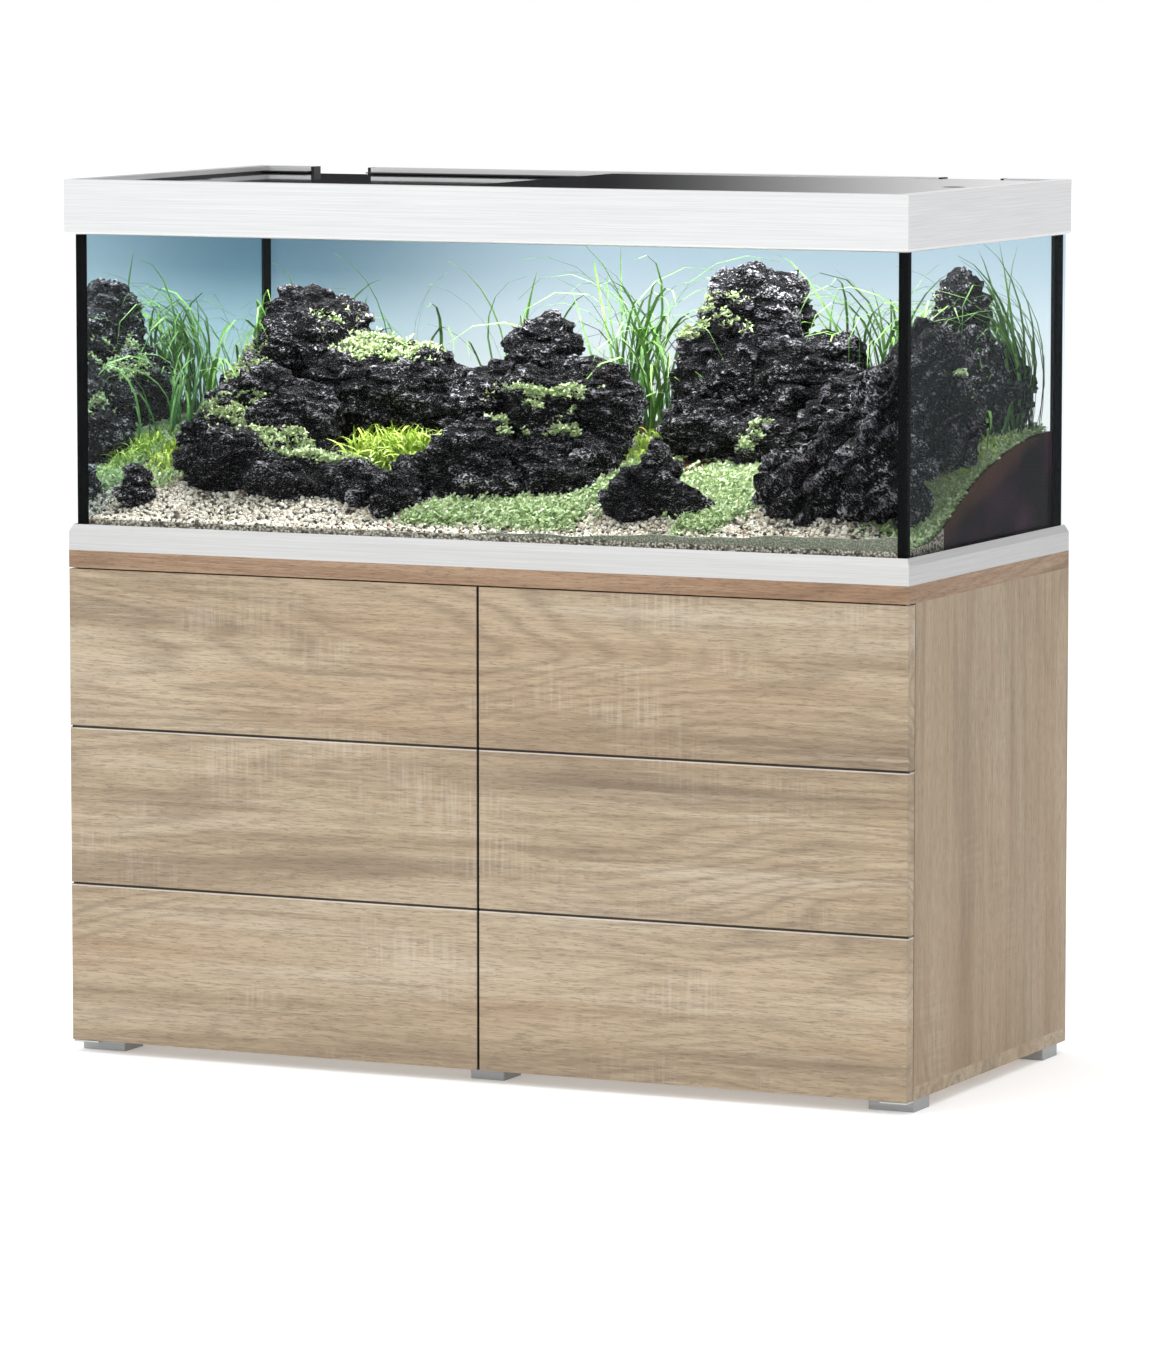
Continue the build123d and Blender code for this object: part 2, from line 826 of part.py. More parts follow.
with BuildPart() as right_rocks:
    soil_stone(0.38, 0.62, 0.19, 0.24, 0.865, 13, turn=20)
    gravel_stone(0.744, 0.587, 0.19, 0.4, 0.73, 11)
    soil_stone(0.84, 0.73, 0.134, 0.17, 0.81, 11, turn=15)
save(right_rocks, "right_rocks")

with BuildPart() as plants:
    for x, y, half_x, half_y, height in (
        (-0.886, 0.877, 0.095, 0.06, 0.81),
        (-0.316, 0.865, 0.095, 0.06, 0.6),
        (0.11, 0.83, 0.07, 0.072, 0.84),
        (0.665, 0.913, 0.095, 0.053, 0.89),
        (0.91, 0.952, 0.063, 0.041, 0.81),
    ):
        soil_stone(x, y, half_x, half_y, height, plant_spread, corners=6)
save(plants, "plants")
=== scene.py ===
# %% [markdown]
# # A planted aquarium on an oak cabinet
# The imported model already has every board, pane, rail and hinge at its right size. This
# script gives each of them its finish, and models the living part of the tank:
# lava rocks, gravel, soil, grasses and carpets of small leaves.

import math
import random

import bpy
import numpy as np
from mathutils import Euler, Matrix, Vector


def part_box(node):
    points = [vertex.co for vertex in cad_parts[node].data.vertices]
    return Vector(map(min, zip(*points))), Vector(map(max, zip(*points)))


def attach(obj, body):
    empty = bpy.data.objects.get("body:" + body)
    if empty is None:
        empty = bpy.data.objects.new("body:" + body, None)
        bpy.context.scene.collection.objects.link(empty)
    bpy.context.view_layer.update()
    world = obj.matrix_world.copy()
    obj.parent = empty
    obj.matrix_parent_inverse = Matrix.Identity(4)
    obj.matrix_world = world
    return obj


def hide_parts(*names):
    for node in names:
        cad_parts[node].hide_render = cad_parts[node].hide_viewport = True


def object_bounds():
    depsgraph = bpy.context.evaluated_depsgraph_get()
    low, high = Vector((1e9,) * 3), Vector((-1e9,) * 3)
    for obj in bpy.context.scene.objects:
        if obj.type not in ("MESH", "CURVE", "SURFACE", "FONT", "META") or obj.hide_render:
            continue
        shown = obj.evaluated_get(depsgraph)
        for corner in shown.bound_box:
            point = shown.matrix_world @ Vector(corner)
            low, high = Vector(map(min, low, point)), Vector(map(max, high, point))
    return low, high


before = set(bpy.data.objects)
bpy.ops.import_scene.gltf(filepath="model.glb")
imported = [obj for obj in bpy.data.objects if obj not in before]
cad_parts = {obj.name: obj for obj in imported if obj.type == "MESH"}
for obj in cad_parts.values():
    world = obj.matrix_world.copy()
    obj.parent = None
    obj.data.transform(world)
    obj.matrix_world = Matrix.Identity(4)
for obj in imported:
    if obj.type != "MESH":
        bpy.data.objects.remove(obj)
cad_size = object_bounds()
print("The model spans, in metres:", [list(corner) for corner in cad_size])

# %% [markdown]
# ## The camera
# A long lens from ten metres keeps the upright edges upright. The camera looks from the
# right and a little from above, and is turned towards a point near the model's middle.

# %% Set the camera
TURN = math.radians(25.03)
RISE = math.radians(6.21)
DISTANCE = 10.134
AIM = Vector((0.0154, 0.004, 0.5475))
LENS = 188.48

away = Vector((math.sin(TURN) * math.cos(RISE), -math.cos(TURN) * math.cos(RISE), math.sin(RISE)))
camera_data = bpy.data.cameras.new("studio_camera")
camera_data.lens = LENS
camera_data.clip_end = 100
camera = bpy.data.objects.new("studio_camera", camera_data)
bpy.context.scene.collection.objects.link(camera)
camera.location = AIM + away * DISTANCE
camera.rotation_euler = away.to_track_quat("Z", "Y").to_euler()
bpy.context.scene.camera = camera
print("The camera stands at", [round(v, 3) for v in camera.location])

# %% [markdown]
# ## Shader maths as plain expressions
# A material is a tree of nodes. `Value` wraps one socket, so that a sum such as
# `1 - mask * 0.3` adds its Math nodes by itself. `Finish` holds one material, and its
# method `node` adds any node: its type, its settings, then its sockets. Its other methods
# add the nodes that are used most.

# %% A socket that can be used in sums
class Value:
    def __init__(self, finish, socket):
        self.finish = finish
        self.socket = socket

    def maths(self, operation, *values):
        sockets = dict(enumerate(values))
        return self.finish.node("ShaderNodeMath", {"operation": operation}, sockets)

    def __add__(self, other):
        return self.maths("ADD", self, other)

    def __radd__(self, other):
        return self.maths("ADD", other, self)

    def __sub__(self, other):
        return self.maths("SUBTRACT", self, other)

    def __rsub__(self, other):
        return self.maths("SUBTRACT", other, self)

    def __mul__(self, other):
        return self.maths("MULTIPLY", self, other)

    def __rmul__(self, other):
        return self.maths("MULTIPLY", other, self)

    def __pow__(self, other):
        return self.maths("POWER", self, other)

    def size(self):
        """How far the value is from 0."""
        return self.maths("ABSOLUTE", self)

    def wave(self):
        """Goes smoothly between 0 and 1 as the value grows."""
        return self.maths("SINE", self) * 0.5 + 0.5

    def between(self, low, high):
        """0 below low, 1 above high, and a smooth step from one to the other."""
        settings = {"interpolation_type": "SMOOTHSTEP"}
        sockets = {"Value": self, "From Min": low, "From Max": high}
        return self.finish.node("ShaderNodeMapRange", settings, sockets)


# %% One material, or one world, and its nodes
class Finish:
    def __init__(self, name, world=False):
        self.material = (bpy.data.worlds if world else bpy.data.materials).new(name)
        self.material.use_nodes = True
        self.tree = self.material.node_tree
        self.tree.nodes.clear()
        self.out = self.tree.nodes.new("ShaderNodeOutput" + ("World" if world else "Material"))

    def node(self, kind, settings=None, sockets=None, output=0):
        node = self.tree.nodes.new(kind)
        for name, setting in (settings or {}).items():
            if name == "stops":
                ramp = node.color_ramp
                while len(ramp.elements) < len(setting):
                    ramp.elements.new(0.5)
                for element, (place, colour) in zip(ramp.elements, setting):
                    element.position = place
                    element.color = colour
            else:
                setattr(node, name, setting)
        for name, value in (sockets or {}).items():
            if isinstance(value, Value):
                self.tree.links.new(value.socket, node.inputs[name])
            else:
                node.inputs[name].default_value = value
        return Value(self, node.outputs[output])

    def place(self):
        """Where a point is on the model, in metres."""
        return self.node("ShaderNodeTexCoord", output=3)

    def xyz(self, point=None):
        """The three numbers of a point's place."""
        split = self.node("ShaderNodeSeparateXYZ", {}, {0: point or self.place()}).socket.node
        return [Value(self, socket) for socket in split.outputs]

    def axes(self, along, across, through):
        """The point's place with the grain's length first: each word is X, Y or Z."""
        parts = dict(zip("XYZ", self.xyz()))
        sockets = {0: parts[along], 1: parts[across], 2: parts[through]}
        return self.node("ShaderNodeCombineXYZ", sockets=sockets)

    def stretch(self, vector, scale, shift=(0, 0, 0)):
        """The same place, stretched, for a pattern that is longer one way."""
        sockets = {"Vector": vector, "Scale": scale, "Location": shift}
        return self.node("ShaderNodeMapping", {}, sockets)

    def clouds(self, vector, scale=1.0, detail=3.0, rough=0.5, bend=0.0):
        sockets = {"Vector": vector, "Scale": scale, "Detail": detail, "Roughness": rough}
        return self.node("ShaderNodeTexNoise", {}, sockets | {"Distortion": bend})

    def cells(self, vector, scale, output=0):
        """Cells of uneven size: output 0 is how far their middle is, and 1 is their colour."""
        sockets = {"Vector": vector, "Scale": scale}
        return self.node("ShaderNodeTexVoronoi", {}, sockets, output)

    def read(self, name):
        """A number that the mesh holds for each of its points."""
        return self.node("ShaderNodeAttribute", {"attribute_name": name}, output=2)

    def from_within(self):
        """1 where the face is seen from its back, and 0 from its front."""
        return self.node("ShaderNodeNewGeometry", output=6)

    def ramp(self, value, *stops):
        return self.node("ShaderNodeValToRGB", {"stops": stops}, {0: value})

    def mix(self, factor, first, second):
        """One colour over another, by a factor."""
        sockets = {0: factor, 6: first, 7: second}
        return self.node("ShaderNodeMix", {"data_type": "RGBA"}, sockets, output=2)

    def bump(self, height, distance, strength=1.0):
        sockets = {"Height": height, "Distance": distance, "Strength": strength}
        return self.node("ShaderNodeBump", {}, sockets)

    def surface(self, **sockets):
        """Ends the material in one Principled shader."""
        named = {name.replace("_", " "): value for name, value in sockets.items()}
        shader = self.node("ShaderNodeBsdfPrincipled", {}, named)
        return self.end(shader)

    def end(self, shader):
        self.tree.links.new(shader.socket, self.out.inputs["Surface"])
        return self.material


def linear(level):
    return ((level / 255 + 0.055) / 1.055) ** 2.4 if level > 10 else level / 3295


def tint(red, green, blue):
    """A colour picked on a screen, 0 to 255, as the linear colour that shaders use."""
    return (linear(red), linear(green), linear(blue), 1.0)


def shade(colour, share):
    """The same colour, darker."""
    return tuple(level * share for level in colour[:3]) + (1.0,)


BLACK = (0.0, 0.0, 0.0, 1.0)
WHITE = (1.0, 1.0, 1.0, 1.0)


# %% [markdown]
# ## Rough-sawn oak
# The cabinet's boards have a printed and pressed oak finish: pale ground, long arches where
# the rings are cut, fine dark pores, greyish streaks, and pale marks of the saw across the
# grain. Each is one noise stretched along the grain. The grain's direction differs from
# board to board, so one function makes the finish for any direction.

# %% Oak for a grain direction
GROOVES = (0.246, 0.473)  # the heights of the two grooves in a door
HIGHLIGHT_DROP = 0.0028  # a painted highlight, a pale line on the groove's lower lip, lies this far under each groove
# Where a mask starts and where it is full: off a line's middle, or along the depth
CUT_EDGE, HIGHLIGHT_EDGE, SEAM_EDGE = (0.0024, 0.0016), (0.0012, 0.0006), (0.0026, 0.0016)
UNDER_FRONT, BEFORE_FLOOR = (-0.2958, -0.2954), (-0.288, -0.289)


def oak(name, along, across, through, light, mid, dark, seed=0.0, saw=1.0, grooves=False):
    wood = Finish(name)
    if along == "edge":
        x, y, z = wood.xyz()
        grain = wood.node("ShaderNodeCombineXYZ", sockets={0: x + y, 1: z, 2: 0.0})
    else:
        grain = wood.axes(along, across, through)
    spot = wood.stretch(grain, (1, 1, 1), (seed, seed * 0.7, seed * 0.3))
    broad = wood.clouds(wood.stretch(spot, (0.7, 9, 9)), 1.0, 4.0, 0.62, 0.4)
    warp = wood.clouds(wood.stretch(spot, (0.62, 3.6, 3.6)), 1.0, 3.0, 0.4, 0.25)
    arches = (warp * 230).wave() ** 3
    arch_area = wood.clouds(wood.stretch(spot, (1.4, 4, 4), (3, 1, 2)), 1.0, 2.0).between(0.4, 0.6)
    fibre = wood.clouds(wood.stretch(spot, (26, 420, 420)), 1.0, 4.0, 0.65)
    streak = wood.clouds(wood.stretch(spot, (1.4, 62, 62)), 1.0, 7.0, 0.7, 0.5)
    hue = wood.clouds(wood.stretch(spot, (0.9, 5, 5), (11, 2, 6)), 1.0, 3.0).between(0.42, 0.62)
    pores = wood.clouds(wood.stretch(spot, (60, 620, 620)), 1.0, 2.0, 0.6, 0.4).between(0.54, 0.68)
    saw_lines = wood.clouds(wood.stretch(spot, (190, 9, 9)), 1.0, 2.0).between(0.42, 0.68)
    saw_area = wood.clouds(wood.stretch(spot, (5, 12, 12), (7, 5, 1)), 1.0, 3.0).between(0.5, 0.72)
    ground = wood.ramp(broad, (0.3, dark), (0.47, mid), (0.66, light))
    streaked = wood.mix(streak.between(0.5, 0.7) * 0.6, ground, dark)
    pale = wood.mix(streak.between(0.48, 0.3) * 0.55, streaked, light)
    honey = (mid[0] * 1.12, mid[1] * 0.98, mid[2] * 0.84, 1.0)
    warm = wood.mix(hue * 0.28, pale, honey)
    ringed = wood.mix(arches * arch_area * 0.34, warm, shade(dark, 0.75))
    fibred = wood.mix(fibre.between(0.4, 0.62) * 0.26, ringed, shade(dark, 0.62))
    pored = wood.mix(pores * 0.34, fibred, shade(dark, 0.4))
    sawn = wood.mix(saw_lines * saw_area * 0.2 * saw, pored, tint(222, 212, 198))
    # Painted shade: the grooves and the split between the doors are painted dark inside; a painted
    # highlight, a pale line, lies on each groove's lower lip
    if grooves:
        x, y, z = wood.xyz()
        cut, lip_highlight = 0.0, 0.0
        for height in GROOVES:
            cut = (z - height).size().between(*CUT_EDGE) + cut
            lip_highlight = (z - (height - HIGHLIGHT_DROP)).size().between(*HIGHLIGHT_EDGE) + lip_highlight
        seam = x.size().between(*SEAM_EDGE)
        inside = y.between(*UNDER_FRONT) * y.between(*BEFORE_FLOOR)
        highlit = wood.mix(lip_highlight * 0.5, sawn, tint(236, 232, 226))
        painted_groove_shade = inside * cut.between(0.0, 0.6) * 0.85 + inside * seam * 0.85
        sawn = wood.mix(painted_groove_shade, highlit, tint(34, 32, 34))
    height = fibre * 0.6 + saw_lines * saw_area * -0.3 - pores * 0.8
    return wood.surface(
        Base_Color=sawn,
        Roughness=0.5 + fibre * 0.16,
        Normal=wood.bump(height, 0.0004, 0.7),
        Specular_IOR_Level=0.3,
    )


front_tones = tint(204, 190, 168), tint(182, 163, 137), tint(138, 121, 101)
# Painted shade: the side boards are the front's oak, made darker
shaded_side_tones = tint(182, 166, 144), tint(168, 149, 124), tint(138, 119, 97)
edge_tones = tint(184, 159, 134), tint(158, 130, 105), tint(108, 83, 65)
front_oak = oak("oak_front", "X", "Z", "Y", *front_tones, grooves=True)
shaded_side_oak = oak("oak_side_shaded", "Z", "Y", "X", *shaded_side_tones, seed=4.0, saw=0.4)
edge_oak = oak("oak_edge", "edge", "", "", *edge_tones, seed=9.0, saw=0.0)
print("Oak finishes:", front_oak.name, shaded_side_oak.name, edge_oak.name)

# %% [markdown]
# ## Brushed metal and plain plastics
# Brushing leaves fine lines along a rail, so the mitred ends of the four rails show lines
# that meet at a right angle. The lines change the roughness, the normal and a little of
# the colour.

# %% Metals
def brushed(name, along, across, through, colour, rough=0.34):
    metal = Finish(name)
    spot = metal.axes(along, across, through)
    lines = metal.clouds(metal.stretch(spot, (5, 900, 900)), 1.0, 3.0, 0.7)
    drift = metal.clouds(metal.stretch(spot, (2, 60, 60)), 1.0, 3.0, 0.6)
    streaks = lines.between(0.36, 0.64) * 0.45 + drift * 0.12
    return metal.surface(
        Base_Color=metal.mix(streaks, colour, shade(colour, 0.74)),
        Metallic=0.85,
        Roughness=rough + lines * 0.14,
        Normal=metal.bump(lines + drift * 0.15, 0.00009, 0.6),
    )


rail_x = brushed("brushed_aluminium_long", "X", "Z", "Y", (0.79, 0.795, 0.8, 1.0))
rail_y = brushed("brushed_aluminium_side", "Y", "Z", "X", (0.78, 0.78, 0.785, 1.0))
frame_x = brushed("brushed_aluminium_frame", "X", "Z", "Y", (0.65, 0.65, 0.645, 1.0))
# Painted shade: the frame's ends are its front's aluminium, made darker
shaded_frame_y = brushed("brushed_aluminium_frame_shaded_side", "Y", "Z", "X", (0.56, 0.56, 0.555, 1.0))
foot_metal = brushed("brushed_steel_foot", "X", "Y", "Z", (0.4, 0.405, 0.41, 1.0), 0.38)
fixing_metal = brushed("zinc_fixing", "X", "Y", "Z", (0.62, 0.62, 0.6, 1.0), 0.36)
print("Metals:", rail_x.name, rail_y.name, foot_metal.name, fixing_metal.name)


# %% Plastics, foam, paint and board
def plain(name, colour, rough, grain=900.0, depth=0.00008, spread=0.12, coat=0.0, shine=0.5):
    """A moulded surface: a fine grain in the roughness and a little drift in the colour."""
    stuff = Finish(name)
    spot = stuff.place()
    fine = stuff.clouds(spot, grain, 2.0, 0.6)
    drift = stuff.clouds(spot, 9.0, 3.0, 0.55)
    paler = tuple(min(1.0, c * (1 + 3 * spread) + 0.003) for c in colour[:3]) + (1.0,)
    return stuff.surface(
        Base_Color=stuff.mix(drift.between(0.3, 0.8) * 0.4 + fine * 0.15, colour, paler),
        Roughness=rough + (fine - 0.5) * spread,
        Normal=stuff.bump(fine, depth),
        Coat_Weight=coat,
        Specular_IOR_Level=shine,
    )


gloss_black = plain("gloss_black", (0.006, 0.0065, 0.0075, 1.0), 0.07, 60.0, 0.00001, 0.03, 0.6)
black_plastic = plain("black_plastic", (0.012, 0.012, 0.013, 1.0), 0.42)
black_rubber = plain("black_rubber", (0.01, 0.01, 0.011, 1.0), 0.55, 1400.0)
silicone = plain(
    "black_silicone", (0.0015, 0.0015, 0.002, 1.0), 0.6, 200.0, 0.0001, 0.02, shine=0.06
)
latch_grey = plain("latch_plastic", tint(196, 198, 200), 0.38)
foam = plain("mat_foam", (0.02, 0.02, 0.022, 1.0), 0.85, 500.0, 0.0004)
white_board = plain("back_board", tint(214, 208, 198), 0.6, 500.0, 0.0001, 0.05)

# %% [markdown]
# ## Glass
# A pane lets light straight through, takes a trace of green, and mirrors more and more as
# it is seen at a flat angle. In a full tank the water does something more: light that meets
# an end pane from inside at more than about 49 degrees is turned back whole, so each end
# pane is a mirror from within. That is why rocks seem to go on past the left end.

# %% Pane glass, with and without the inner mirror
INNER_FACE = 0.634  # how far from the middle the end panes' inner faces are
MIRROR_EDGE = (INNER_FACE + 0.0012, INNER_FACE + 0.0004)
FLAT_LOOK = (0.24, 0.34)  # where the look is flat enough for the mirror to start and be full


def pane_glass(name, mirror):
    glass = Finish(name)
    facing = glass.node("ShaderNodeLayerWeight", {}, {"Blend": 0.5}, output=1)
    gloss = 0.002 + 0.12 * facing**5
    if mirror:
        inner = glass.xyz()[0].size().between(*MIRROR_EDGE)
        gloss = gloss + inner * (1 - glass.from_within()) * facing.between(*FLAT_LOOK) * 0.98
    clear = glass.node("ShaderNodeBsdfTransparent", {}, {0: (0.97, 0.985, 0.98, 1.0)})
    shine = glass.node("ShaderNodeBsdfGlossy", {}, {0: (0.82, 0.93, 0.95, 1.0), "Roughness": 0.01})
    both = glass.node("ShaderNodeMixShader", {}, {0: gloss, 1: clear, 2: shine})
    return glass.end(both)


clear_glass = pane_glass("tank_glass", False)
end_glass = pane_glass("tank_end_glass", True)
print("Glass:", clear_glass.name, end_glass.name)


# %% The background film, a soft sky that glows as painted light, though it is no lamp, on the side towards the tank
SKIN = 0.00005  # how near a point must be to the film's front face


def film_finish():
    film = Finish("blue_film")
    across, back, up = film.xyz()
    low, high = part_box("background_film")
    front_side = back.between(high[1] - SKIN, low[1] + SKIN)
    painted_glow_side = front_side.maths("MAXIMUM", front_side, film.from_within())
    drift = film.clouds(film.stretch(film.place(), (1.5, 1, 3)), 1.0, 2.0)
    rise = up + (drift - 0.5) * 0.06
    left = film.ramp(
        rise.between(0.88, 1.2),
        (0.0, tint(214, 230, 234)),
        (0.4, tint(182, 207, 222)),
        (0.8, tint(104, 136, 156)),
        (1.0, tint(88, 118, 140)),
    )
    right = film.ramp(
        rise.between(0.9, 1.2),
        (0.0, tint(250, 252, 254)),
        (0.5, tint(226, 238, 250)),
        (1.0, tint(186, 208, 226)),
    )
    colour = film.mix(across.between(-0.62, -0.02), left, right)
    unlit = film.mix(0.35, colour, tint(120, 150, 172))
    # Painted light: on the side towards the tank the film's gradient is given off as a glow, over a
    # near black base
    return film.surface(
        Base_Color=film.mix(painted_glow_side * 0.85, unlit, BLACK),
        Roughness=0.5 + drift * 0.1,
        Emission_Color=film.mix(painted_glow_side, BLACK, colour),
        Emission_Strength=1.0,
    )


blue_film = film_finish()


# %% Lamp lens
def lens_finish():
    lens = Finish("lamp_lens")
    sockets = {"Vector": lens.place(), "Scale": 90.0}
    ribs = lens.node("ShaderNodeTexWave", {"bands_direction": "X"}, sockets, output=1)
    return lens.surface(
        Base_Color=lens.mix(ribs, (0.75, 0.77, 0.8, 1.0), (0.9, 0.92, 0.95, 1.0)),
        Roughness=0.3 + ribs * 0.1,
        Emission_Color=(0.92, 0.97, 1.0, 1.0),
        Emission_Strength=1.6,
        Normal=lens.bump(ribs, 0.0003),
    )


lamp_lens = lens_finish()

# %% [markdown]
# ## Dress the cabinet, tank and hood
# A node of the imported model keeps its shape, and only takes a material. Boards take the oak
# of their own grain direction.

# %% Give each node its finish
DRESS = {
    front_oak: ["left_door", "right_door", "bottom_panel", "shelf"],
    shaded_side_oak: ["left_side_panel", "right_side_panel", "centre_partition"],
    edge_oak: ["top_panel"],
    white_board: ["left_back_panel", "right_back_panel"],
    foot_metal: ["front_feet", "back_feet"],
    fixing_metal: [
        "cabinet_screws", "shelf_pins", "hood_corner_brackets", "upper_pivot_leaves",
        "left_door_pivot_leaves", "right_door_pivot_leaves", "lower_pivot_brackets",
        "left_strike_plate", "right_strike_plate",
    ],
    latch_grey: [
        "left_latch_housing", "right_latch_housing", "left_latch_plunger",
        "right_latch_plunger", "pivot_washers",
    ],
    frame_x: ["base_frame_front", "base_frame_back"],
    shaded_frame_y: ["base_frame_left", "base_frame_right"],
    rail_x: ["hood_front_rail", "hood_back_rail", "lamp_bodies"],
    rail_y: ["hood_left_rail", "hood_right_rail"],
    gloss_black: ["left_cover", "right_cover"],
    black_plastic: [
        "front_cover_track", "back_cover_track", "side_trims", "lamp_end_caps", "lamp_arms",
    ],
    black_rubber: ["cutout_end_caps"],
    silicone: ["corner_silicone"],
    foam: ["tank_mat"],
    clear_glass: ["front_pane", "back_pane", "bottom_pane", "glass_braces"],
    end_glass: ["left_pane", "right_pane"],
    blue_film: ["background_film"],
    lamp_lens: ["lamp_lenses"],
}
dressed = 0
for material, names in DRESS.items():
    for name in names:
        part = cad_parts[name]
        if not part.material_slots:
            part.data.materials.append(material)
        for slot in part.material_slots:
            slot.material = material
        dressed += 1
print("Parts with a finish:", dressed, "of", len(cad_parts))
print("Still bare:", sorted(set(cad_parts) - {n for names in DRESS.values() for n in names}))

# %% [markdown]
# ## Tools for the planting
# Rocks are made as a carver would: a ball is stretched and then cut flat on several sides.
# Small things that repeat, such as pebbles and leaves, are modelled once, and a mesh of all
# the copies is then written with numpy, because a few thousand separate objects are slow.

# %% Start clean, and put one finished piece in its place
def begin():
    if bpy.context.object and bpy.context.object.mode != "OBJECT":
        bpy.ops.object.mode_set(mode="OBJECT")
    bpy.ops.object.select_all(action="DESELECT")


def settle(piece):
    """The piece's turn, size and place go into its mesh."""
    begin()
    piece.select_set(True)
    bpy.context.view_layer.objects.active = piece
    bpy.ops.object.transform_apply(location=True, rotation=True, scale=True)


def joined(pieces):
    """All the pieces as one, which keeps the first one's name."""
    begin()
    for piece in pieces:
        piece.select_set(True)
    bpy.context.view_layer.objects.active = pieces[0]
    bpy.ops.object.join()
    return bpy.context.object


def edit_all():
    """Edit mode, with everything selected."""
    bpy.ops.object.mode_set(mode="EDIT")
    bpy.ops.mesh.select_all(action="SELECT")


def edit_done():
    bpy.ops.object.mode_set(mode="OBJECT")


def taken_shape(piece):
    """The piece's mesh, to make copies of, without the piece."""
    shape = piece.data.copy()
    bpy.data.objects.remove(piece)
    return shape


def clamp(value, low, high):
    return max(low, min(high, value))


def leaning(chance, spread):
    """Any turn about the upright, with a lean that is mostly less than spread, in radians."""
    angles = chance.gauss(0, spread), chance.gauss(0, spread), chance.uniform(0, 6.28)
    return Euler(angles).to_matrix().to_4x4()


# %% A mesh made of many copies of a small one
def copies(name, shape, places, tones, material):
    """shape is a small mesh, places are 4x4 matrices, and tones one number for each copy."""
    points = np.array([vertex.co[:] for vertex in shape.vertices])
    points = np.c_[points, np.ones(len(points))]
    moves = np.array([[list(row) for row in place] for place in places])
    moved = np.einsum("nij,vj->nvi", moves, points)[:, :, :3].reshape(-1, 3)
    faces = [list(face.vertices) for face in shape.polygons]
    starts = [copy * len(points) for copy in range(len(places))]
    all_faces = [[start + index for index in face] for start in starts for face in faces]
    mesh = bpy.data.meshes.new(name)
    mesh.from_pydata(moved.tolist(), [], all_faces)
    tone = mesh.attributes.new("tone", "FLOAT", "POINT")
    tone.data.foreach_set("value", np.repeat(np.array(tones, dtype=float), len(points)))
    reach = mesh.attributes.new("reach", "FLOAT", "POINT")
    heights = points[:, 2] / max(1e-6, points[:, 2].max())
    reach.data.foreach_set("value", np.tile(heights, len(places)))
    piece = bpy.data.objects.new(name, mesh)
    bpy.context.scene.collection.objects.link(piece)
    mesh.materials.append(material)
    print(name, "has", len(places), "copies and", sum(len(f) - 2 for f in all_faces), "triangles")
    return piece


# %% [markdown]
# ## Lava rock
# Black lava has sharp ridges, deep pits and thin layers. Large blocks are cut first, then
# joined with a voxel remesh, and Displace modifiers push the surface in and out: coarse
# cells for ridges, tilted bands for the layers, and fine noise for the grit. The material
# paints light: pale flecks as a painted highlight on what stands proud, and near black as
# painted shade in the hollows.

# %% The rock's finish
def rock_finish(name, tilt):
    stone = Finish(name)
    sockets = {"Vector": stone.place(), "Rotation": (0.0, tilt, 0.2)}
    turned = stone.node("ShaderNodeMapping", {}, sockets)
    layers = stone.stretch(turned, (0.45, 0.6, 1.0))
    flecks = stone.clouds(layers, 230.0, 4.0, 0.66, 0.8)
    grit = stone.clouds(layers, 560.0, 3.0, 0.6)
    masses = stone.clouds(stone.place(), 14.0, 4.0, 0.6)
    pits = stone.cells(layers, 150.0)
    proud = stone.read("proud")
    height = flecks * 0.7 + grit * 0.3 + pits.between(0.0, 0.5) * 0.4
    # Painted highlight: pale flecks where grit and ridges stand proud; the near black elsewhere is
    # partly painted shade in the hollows
    painted_highlight = (flecks * 0.42 + grit * 0.44 + proud * 0.14).between(0.548, 0.608)
    dark = stone.mix(masses.between(0.35, 0.65), tint(2, 2, 3), tint(11, 10, 13))
    pale = stone.mix(masses.between(0.4, 0.7), tint(112, 108, 118), tint(222, 218, 226))
    rusty = stone.clouds(stone.place(), 22.0, 2.0).between(0.66, 0.74) * 0.4
    highlight_with_rust = stone.mix(rusty, pale, tint(122, 84, 64))
    return stone.surface(
        Base_Color=stone.mix(painted_highlight * 0.8, dark, highlight_with_rust),
        Roughness=0.78 + grit * 0.2,
        Specular_IOR_Level=0.18,
        Normal=stone.bump(height, 0.008, 1.0),
    )


lava_level = rock_finish("lava_rock_level", 0.12)
lava_steep = rock_finish("lava_rock_steep", -0.75)


# %% Cut one block from a ball
WORN = 0.9  # weathering swells a block, so it is cut smaller
CUTS = 11


def block_of_rock(seed, centre, half, turn, lean=0.0):
    chance = random.Random(seed)
    begin()
    bpy.ops.mesh.primitive_ico_sphere_add(subdivisions=3, radius=1.0, location=(0, 0, 0))
    stone = bpy.context.object
    bpy.ops.object.mode_set(mode="EDIT")
    for _ in range(CUTS):
        heading = Vector((chance.gauss(0, 1), chance.gauss(0, 1), chance.gauss(0, 1))).normalized()
        depth = chance.uniform(0.62, 0.88)
        bpy.ops.mesh.select_all(action="SELECT")
        bpy.ops.mesh.bisect(
            plane_co=heading * depth, plane_no=heading, use_fill=True, clear_outer=True
        )
    edit_done()
    stone.scale = [size * WORN for size in half]
    stone.rotation_euler = (0.0, lean, turn)
    stone.location = centre
    settle(stone)
    return stone


# %% Mark what stands proud
SMOOTHINGS = 4
PROUD_DEPTH = 0.006  # a point this far out of the smoothed surface counts as a full ridge


